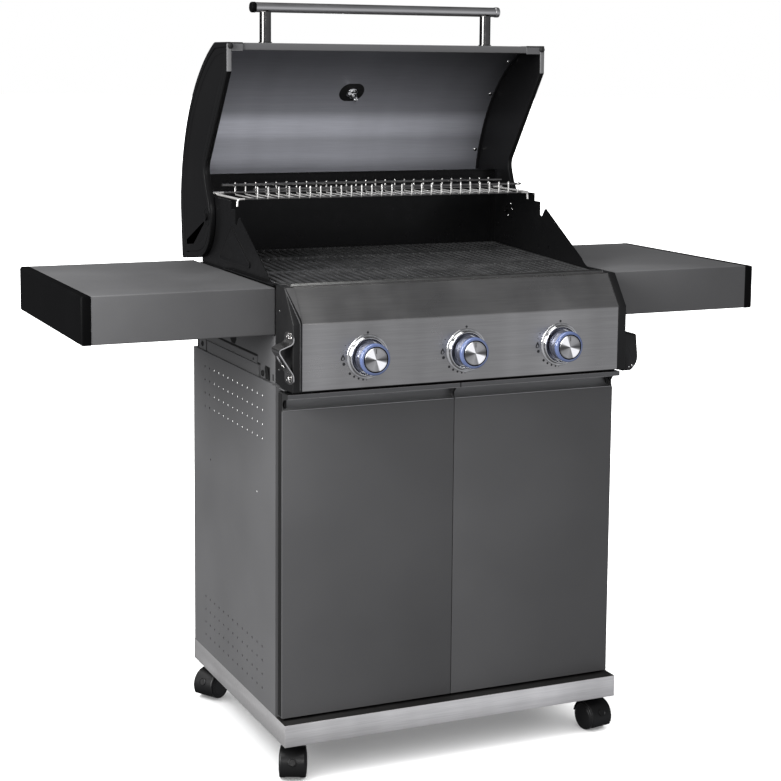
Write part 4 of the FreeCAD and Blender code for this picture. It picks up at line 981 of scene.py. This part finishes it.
def firebox_fittings():
    """Embossed stiffeners, corner seams, the rolled front lip and the rack's hook edges."""
    bm = bmesh.new()
    triangle = [(312.0, 927.0), (189.5, 860.0), (384.5, 859.0)]
    for way in (-1, 1):
        outline = rounded(triangle, 7.0, 6)
        steps = ((-0.2, outline), (1.4, outline), (1.8, inset(outline, 1.2)), (1.8, inset(outline, 3.0)),
                 (0.9, inset(outline, 5.0)))
        rings_panel(bm, [[at(way * (WALL_X + x), p.x, p.y) for p in ring] for x, ring in steps])
        block(bm, way * 297.2, way * 298.6, 478.6, 479.9, 852.0, 1000.0)
        block(bm, way * 297.2, way * (WALL_X - 1.5), 479.4, 480.0, 852.0, 1000.0)
        for y, z, radius in ((411.0, 944.0, 3.0), (404.0, 934.0, 2.4), (420.0, 921.0, 2.0)):
            screw(bm, way * (WALL_X - 1.5), y, z, (-way, 0, 0), radius, 1.8, 1)
    finish_piece("firebox_fittings", bm, [ENAMEL, POLISHED], "cabinet", (), 35)
    lip = bmesh.new()
    half = 300.6
    lathe(lip, at(-half, 38.5, 850.0), (1, 0, 0),
          [(0, 0), (0, 2.6), (1, 3.1), (2 * half - 1, 3.1), (2 * half, 2.6), (2 * half, 0)], 24)
    sheet_along_x(lip, [(38.5, 850.4), (64.0, 850.4), (66.0, 849.2), (66.0, 848.8), (38.5, 848.8)],
                  -half, half)
    finish_piece("firebox_rolled_lip", lip, POLISHED_LIP_SHADED, "cabinet", (), 40)


def rack():
    """Bent wires: two raised rails, a lower frame with hooked corners and cross wires turned up."""
    left, right, front, back, bottom = -303.0, 288.0, 301.0, 420.0, 975.0
    rail, reach = bottom + 17.0, 272.0
    bm = bmesh.new()
    for y, half in ((front, reach), (back, reach + 20)):
        wire(bm, [at(-half, y, rail), at(half, y, rail)], 2.4, 0, 12)
    for y, z, thick in ((front, bottom, 1.7), (back, bottom + 3, 2.0)):
        wire(bm, [at(left + 14, y, z), at(right - 14, y, z)], thick, 0, 12)
    for x, way in ((left, 1), (right, -1)):
        wire(bm, [at(x + way * 14, front, bottom), at(x + way, front, bottom), at(x, front, bottom - 13)],
             2.0, 5, 12, 1)
        wire(bm, [at(x, front - 1, bottom + 0.5), at(x, back + 4, bottom + 1)], 2.2, 0, 12, 1)
        wire(bm, [at(x + way * 14, back, bottom + 3), at(x - way * 6, back, bottom + 3)], 2.2, 0, 12, 1)
    count = 27
    for index in range(count):
        x = (reach - 7) * (2 * index / (count - 1) - 1)
        wire(bm, [at(x, y, z) for y, z in ((front - 2.4, rail + 4.4), (front - 2.4, bottom - 1.0),
                                           (back + 2.4, bottom - 1.0), (back + 2.4, rail + 4.4))],
             1.5, 6, 8, 1)
    finish_piece("warming_rack_wires", bm, [RAIL_WIRE, WIRE], "warming_rack", ("warming_rack",), 50)


firebox_fittings()
rack()


# ---- Lid ---------------------------------------------------------------------------------
LID_OUTER = 321.0
LID_INNER = 312.0
LID_TOP = 1255.0
PIVOT = (426.0, 933.5)
LID_OUTLINE = trace((304.0, 1252.0), [(304.0, 1203.0), (421.0, 1040.0), (428.0, 1026.0, 426.0, 1010.0),
                                      (417.0, 988.0), (397.0, 935.0, 462.0, 856.0), (480.0, 852.0),
                                      (568.0, 842.5), (573.0, 843.5, 575.0, 848.0), (583.0, 934.0),
                                      (583.5, 953.0, 582.0, 978.0), (511.0, 1152.5, 380.0, 1253.5),
                                      (374.0, LID_TOP), (306.0, LID_TOP)])
SKIN_START, SKIN_MIDDLE, SKIN_END = (373.0, 1251.0), (508.0, 1150.0), (578.0, 978.0)
SKIN_CENTRE = Vector((248.8, 944.27))
SKIN_RADIUS = 330.92
THERMO = math.radians(41.6)


def lid_end(side, way):
    """Pressed end: rounded rim, border band, groove and a shallow recess, on both faces."""
    bm = bmesh.new()
    inside = ((11.0, 3.2), (10.0, 3.2), (9.0, 3.2), (8.0, 0.6), (7.0, 0), (1.0, 0), (0.2, 0.5), (0.0, 1.6))
    outside = ((0.0, -1.6), (0.3, -0.5), (1.2, 0), (9.6, 0), (10.6, -0.5), (11.2, -1.8), (12.4, -1.8),
               (13.2, -0.9), (24.0, -0.7), (25.2, -1.1), (26.4, -1.8), (27.4, -1.8), (28.6, -1.8))
    profile = [(d, LID_INNER + x) for d, x in inside] + [(d, LID_OUTER + x) for d, x in outside]
    rings_panel(bm, [[at(way * x, p.x, p.y) for p in inset(LID_OUTLINE, d)] for d, x in profile])
    # Faces on the lid end's front edge, between these heights, take the lighter paint: a painted highlight.
    highlight_top, highlight_bottom = at(0, 0, 1242.0).z, at(0, 0, 1196.0).z
    for face in bm.faces:
        middle = face.calc_center_median()
        if middle.y < at(0, 306.0, 0).y and highlight_bottom < middle.z < highlight_top:
            face.material_index = 1
    lathe(bm, at(way * (LID_OUTER - 2.4), *PIVOT), (way, 0, 0),
          [(0, 19.0), (1.2, 18.8), (2.0, 17.6), (2.2, 15.4), (1.6, 14.6), (1.6, 7.4), (1.6, 0)], 48)
    finish_piece("lid_end_panel_" + side, bm, [BLACK_PAINT, LID_END_EDGE_LIT], "lid",
                 ("lid_end_" + side,), 30)


def lid_sheet():
    """Curved sheet with a hem, finer than the frame's, and the rivets that hold it."""
    thick = 1.2
    arc = flat(SKIN_START) + arc_points(SKIN_START, SKIN_MIDDLE, SKIN_END, 60)
    inner = [SKIN_CENTRE + (p - SKIN_CENTRE).normalized() * (SKIN_RADIUS - thick) for p in arc]
    hem = flat((572.0, 860.0), (562.0, 860.0), (562.0, 861.2), (570.8, 861.2))
    bm = bmesh.new()
    sheet_along_x(bm, flat((322.0, 1251.0)) + arc + hem + inner[::-1] + flat((322.0, 1249.8)),
                  -311.8, 311.8)
    axis = at(0, *SKIN_CENTRE)
    foot = at(0, 574.4, 977.0)          # the straight foot's outer face is behind and below this
    for face in bm.faces:
        middle = face.calc_center_median()
        reach = middle - axis
        reach.x = 0
        on_foot = middle.z < foot.z and middle.y > foot.y
        face.material_index = int(on_foot or reach.length > (SKIN_RADIUS - thick / 2) * MM)
    skin = finish_piece("lid_skin_sheet", bm, (STAINLESS_LID, STAINLESS), "lid",
                        ("lid_skin",), 40)
    rivets = bmesh.new()
    for way in (-1, 1):
        for y, z in ((498.0, 1160.0), (562.0, 1045.0), (420.0, 1224.0)):
            inwards = (SKIN_CENTRE - Vector((y, z))).normalized()
            foot = SKIN_CENTRE - inwards * (SKIN_RADIUS - thick)
            direction = Vector((0, inwards.x, inwards.y))
            lathe(rivets, at(way * 305.0, foot.x, foot.y), direction,
                  [(-0.4, 4.2), (0.6, 4.2), (1.8, 3.4), (2.5, 1.8), (2.7, 0)], 24)
            outside = SKIN_CENTRE - inwards * SKIN_RADIUS
            lathe(rivets, at(way * 305.0, outside.x, outside.y), -direction,
                  [(-0.4, 4.6), (0.8, 4.4), (1.8, 3.0), (2.0, 0)], 24)
    finish_piece("lid_rivets", rivets, POLISHED, "lid", (), 40)
    return skin


def lid_rail():
    """Box rail along the opening edge, with a bracket plate and a black bumper at each end."""
    bm = bmesh.new()
    section = rounded([(307.0, 1241.0), (322.0, 1241.0), (322.0, 1254.0), (307.0, 1254.0)], 1.4, 3)
    sheet_along_x(bm, section, -311.6, 311.6)
    finish_piece("lid_rail_box", bm, RAIL_PAINT_LIT, "lid", ("lid_front_rail",), 35)
    ends = bmesh.new()
    for way, reach in ((-1, 291.0), (1, 283.0)):
        block(ends, way * reach, way * 320.4, 304.6, 306.9, 1239.4, 1254.8, 0)
        block(ends, way * reach, way * 320.0, 304.6, 330.0, 1252.4, 1254.6, 0)
    ease_edges(ends, 0.7, 2)
    finish_piece("lid_rail_end_plates", ends, [RAIL_PAINT_LIT], "lid", (), 35)
    bumpers = bmesh.new()
    for way in (-1, 1):
        lathe(bumpers, at(way * 314.6, 305.6, 1248.0), (0, -1, 0),
              [(0, 5.0), (3.4, 5.0), (5.2, 4.6), (6.2, 3.4), (6.6, 0)], 28)
    finish_piece("lid_bumper_buttons", bumpers, RUBBER, "lid", ("lid_bumpers",), 40)


def lid_handle():
    """Satin tube on two polished standoffs, with plugged ends."""
    low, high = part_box("lid_handle_bar")
    y, z = (low.y + high.y) / 2, (low.z + high.z) / 2
    radius, half = (high.z - low.z) / 2 / MM - 0.4, (high.x - low.x) / 2 / MM
    bm = bmesh.new()
    lathe(bm, Vector((low.x, y, z)), (1, 0, 0), [(0, radius - 1.5), (0, radius), (2 * half, radius),
                                                 (2 * half, radius - 1.5)], 64)
    finish_piece("lid_handle_tube", bm, HANDLE_STEEL, "lid", ("lid_handle_bar",), 40)
    cap_profile = [(-0.6, radius + 0.3), (0.2, radius + 0.7), (6.0, radius + 0.7), (7.8, radius + 0.1),
                   (8.7, radius - 1.2), (9.0, radius - 3.0), (9.0, 0)]
    for side, way, finish in (("left", -1, CAP_PLASTIC), ("right", 1, HANDLE_STEEL)):
        caps = bmesh.new()
        lathe(caps, Vector((way * half * MM, y, z)), (way, 0, 0), cap_profile, 48)
        finish_piece("lid_handle_plug_" + side, caps, finish, "lid",
                     ("lid_handle_caps",) if way < 0 else (), 35)
    posts = bmesh.new()
    foot = at(0, 0, LID_TOP).z
    for way in (-1, 1):
        base = Vector((way * 225.0 * MM, y, foot))
        tall = (z - foot) / MM - radius + 2.2
        lathe(posts, base, UP, [(-3.8, 10.5), (-0.2, 10.5), (0.0, 12.4), (1.2, 12.4), (1.8, 10.6),
                                (tall - 1.2, 10.5), (tall, 9.6)], 64)
    finish_piece("lid_handle_standoffs", posts, POSTS_SHADED, "lid", ("lid_handle_posts",), 35)


def gauge():
    """Thermometer: dial outside the skin, and its neck, wing nut and probe inside."""
    outwards = Vector((0, math.cos(THERMO), math.sin(THERMO)))
    across = outwards.cross(RIGHT)
    foot = SKIN_CENTRE + Vector((math.cos(THERMO), math.sin(THERMO))) * SKIN_RADIUS
    origin = at(0, foot.x, foot.y)
    bm = bmesh.new()
    lathe(bm, origin, outwards, [(0.1, 0), (0.1, 26.4), (1.0, 27.6), (8.6, 28.0), (11.0, 27.4),
                                 (11.5, 26.2), (11.2, 24.9), (9.4, 24.5)], 72, 0)
    lathe(bm, origin, outwards, [(9.4, 24.5), (9.2, 0)], 72, 1)
    first_tick = math.radians(225)
    for tick in range(11):
        angle = first_tick - math.radians(27 * tick)
        spoke = across * math.sin(angle) + RIGHT * math.cos(angle)
        side = outwards.cross(spoke)
        middle = origin + outwards * (9.5 * MM) + spoke * (20.5 * MM)
        corners = [middle + spoke * (a * 1.9 * MM) + side * (b * 0.45 * MM)
                   for a, b in ((-1, -1), (1, -1), (1, 1), (-1, 1))]
        extrude(bm, corners, outwards * (0.2 * MM), 2)
    spoke = across * math.sin(first_tick) + RIGHT * math.cos(first_tick)
    side = outwards.cross(spoke)
    middle = origin + outwards * (9.8 * MM)
    tail = middle - spoke * (4 * MM)
    extrude(bm, [tail + side * (0.9 * MM), tail - side * (0.9 * MM), middle + spoke * (17 * MM)],
            outwards * (0.3 * MM), 3)
    lathe(bm, origin, outwards, [(9.4, 3.0), (10.6, 2.6), (10.8, 0)], 24, 0)
    lathe(bm, origin, -outwards, [(1.3, 25.5), (1.7, 25.5), (2.0, 25.0), (2.0, 0)], 72, 4)
    lathe(bm, origin, -outwards, [(2.0, 11.0), (4.0, 11.0), (4.6, 10.2), (4.6, 7.6), (12.0, 7.4),
                                  (12.6, 6.6), (12.6, 3.0), (25.0, 3.0), (26.0, 2.2), (26.2, 0)], 32, 0)
    for way in (-1, 1):
        tip = origin - outwards * (8.0 * MM)
        lean = (across * 0.62 + RIGHT * 0.78) * way
        wire(bm, [tip + lean * (4 * MM), tip + lean * (9 * MM) - outwards * (2 * MM),
                  tip + lean * (14 * MM) - outwards * (7 * MM)], 3.0, 4, 12, 0)
    finish_piece("lid_gauge", bm, [CHROME, DIAL_WHITE, INK, DIAL_RED, DARK_PARTS_AND_SHADE], "lid",
                 ("thermometer",), 35)


lid_end("left", -1)
lid_end("right", 1)
skin = lid_sheet()
lid_rail()
lid_handle()
gauge()


# ---- Stage, camera and light -------------------------------------------------------------
def floor():
    bm = bmesh.new()
    bmesh.ops.create_circle(bm, cap_ends=True, segments=96, radius=60.0)
    mesh = bpy.data.meshes.new("floor")
    bm.to_mesh(mesh)
    bm.free()
    material, tree, shader = shade("pale_floor", (0.80, 0.80, 0.80), 0.0, 0.9, Specular_IOR_Level=0.05,
                                   Emission_Strength=0.16)
    shader.inputs["Emission Color"].default_value = WHITE
    grain = noise(tree, 3, 2.0)
    link(blend_colours(tree, grain, (0.795,) * 3, (0.815,) * 3), shader.inputs["Base Color"])
    mesh.materials.append(material)
    plane = bpy.data.objects.new("floor", mesh)
    plane.visible_glossy = False
    plane.visible_diffuse = False
    bpy.context.scene.collection.objects.link(plane)
    return plane


def softbox(name, place, target, width, height, power, colour=(1, 1, 1)):
    light = bpy.data.lights.new(name, "AREA")
    light.shape = "RECTANGLE"
    light.size = width
    light.size_y = height
    light.energy = power
    light.color = colour
    lamp = bpy.data.objects.new(name, light)
    lamp.location = place
    lamp.rotation_euler = (Vector(target) - Vector(place)).to_track_quat("-Z", "Y").to_euler()
    bpy.context.scene.collection.objects.link(lamp)
    return lamp


def sky_light(name, strength, direction, spread_angle):
    """Wide, even light from above."""
    light = bpy.data.lights.new(name, "SUN")
    light.energy = strength
    light.angle = math.radians(spread_angle)
    lamp = bpy.data.objects.new(name, light)
    lamp.rotation_euler = Vector(direction).to_track_quat("Z", "Y").to_euler()
    bpy.context.scene.collection.objects.link(lamp)
    return lamp


def lights_on(lamps, thing, state):
    """Let the lamps light only one thing, or everything but that thing."""
    group = bpy.data.collections.new(thing.name + "_" + state.lower())
    group.objects.link(thing)
    group.collection_objects[0].light_linking.link_state = state
    for lamp in lamps:
        lamp.light_linking.receiver_collection = group


def world():
    """White backdrop, even fill, and a room for the metal to mirror: pale low in front, else dim."""
    sky = bpy.data.worlds.new("studio")
    bpy.context.scene.world = sky
    sky.use_nodes = True
    tree = sky.node_tree
    back = tree.nodes["Background"]
    back.inputs["Color"].default_value = WHITE
    back.inputs["Strength"].default_value = 1.0
    parts = node(tree, "SeparateXYZ")
    link(generated(tree), parts.inputs["Vector"])
    heights = ramp_of(tree, parts.outputs["Z"], -1.0, 1.0,
                      ((-1.0, 0.10), (-0.55, 0.35), (-0.25, 0.55), (0.1, 0.42), (0.4, 0.22), (0.7, 0.17),
                       (1.0, 0.15)))
    depths = ramp_of(tree, parts.outputs["Y"], -1.0, 1.0,
                     ((-1.0, 1.0), (-0.35, 1.0), (0.15, 0.35), (0.6, 0.16), (1.0, 0.14)))
    stretched = node(tree, "Mapping", Scale=(1.0, 0.06, 0.06))
    bands = node(tree, "TexNoise", Scale=15.0, Detail=1.0)
    link(generated(tree), stretched.inputs["Vector"])
    link(stretched.outputs["Vector"], bands.inputs["Vector"])
    room = node(tree, "Background")
    link(multiplied(tree, heights, depths), room.inputs["Color"])
    link(spread(tree, bands.outputs["Fac"], 0.68, 1.32), room.inputs["Strength"])
    fill = node(tree, "Background", Color=WHITE, Strength=0.30)
    path = node(tree, "LightPath")
    mirrored = node(tree, "MixShader")
    link(path.outputs["Is Glossy Ray"], mirrored.inputs["Fac"])
    link(fill.outputs["Background"], mirrored.inputs[1])
    link(room.outputs["Background"], mirrored.inputs[2])
    seen = node(tree, "MixShader")
    link(path.outputs["Is Camera Ray"], seen.inputs["Fac"])
    link(mirrored.outputs["Shader"], seen.inputs[1])
    link(back.outputs["Background"], seen.inputs[2])
    link(seen.outputs["Shader"], tree.nodes["World Output"].inputs["Surface"])


def camera():
    data = bpy.data.cameras.new("camera")
    data.sensor_width = 36.0
    data.lens = 81.02
    data.shift_y = -0.150
    data.clip_end = 200.0
    eye = bpy.data.objects.new("camera", data)
    azimuth, elevation, roll = (math.radians(v) for v in (-24.11, 6.82, 0.5))
    back = Vector((math.sin(azimuth) * math.cos(elevation), -math.cos(azimuth) * math.cos(elevation),
                   math.sin(elevation)))
    right = (-back).cross(UP).normalized()
    up = right.cross(-back)
    right, up = (right * math.cos(roll) + up * math.sin(roll),
                 up * math.cos(roll) - right * math.sin(roll))
    turn = Matrix((right, up, back)).transposed()
    eye.matrix_world = Matrix.Translation((-1.3362, -2.9472, 1.2200)) @ turn.to_4x4()
    bpy.context.scene.collection.objects.link(eye)
    bpy.context.scene.camera = eye


ground = floor()
world()
camera()
sky_light("even_light", 2.2, (-0.35, 0.10, 1.0), 50)
lights_on([softbox("left_key", (-3.4, -1.0, 1.9), (0, 0, 0.8), 1.6, 2.2, 165),
           softbox("front_fill", (-1.2, -3.5, 2.2), (0, 0, 0.9), 1.4, 1.0, 36)], ground, "EXCLUDE")
lights_on([sky_light("floor_light", 6.2, (0.0, 0.0, 1.0), 130)], ground, "INCLUDE")
lights_on([softbox("lid_fill", (0.6, -3.0, 0.6), (0, 0.2, 1.1), 1.6, 0.8, 42)], skin, "INCLUDE")
bpy.context.scene.view_settings.view_transform = "Standard"
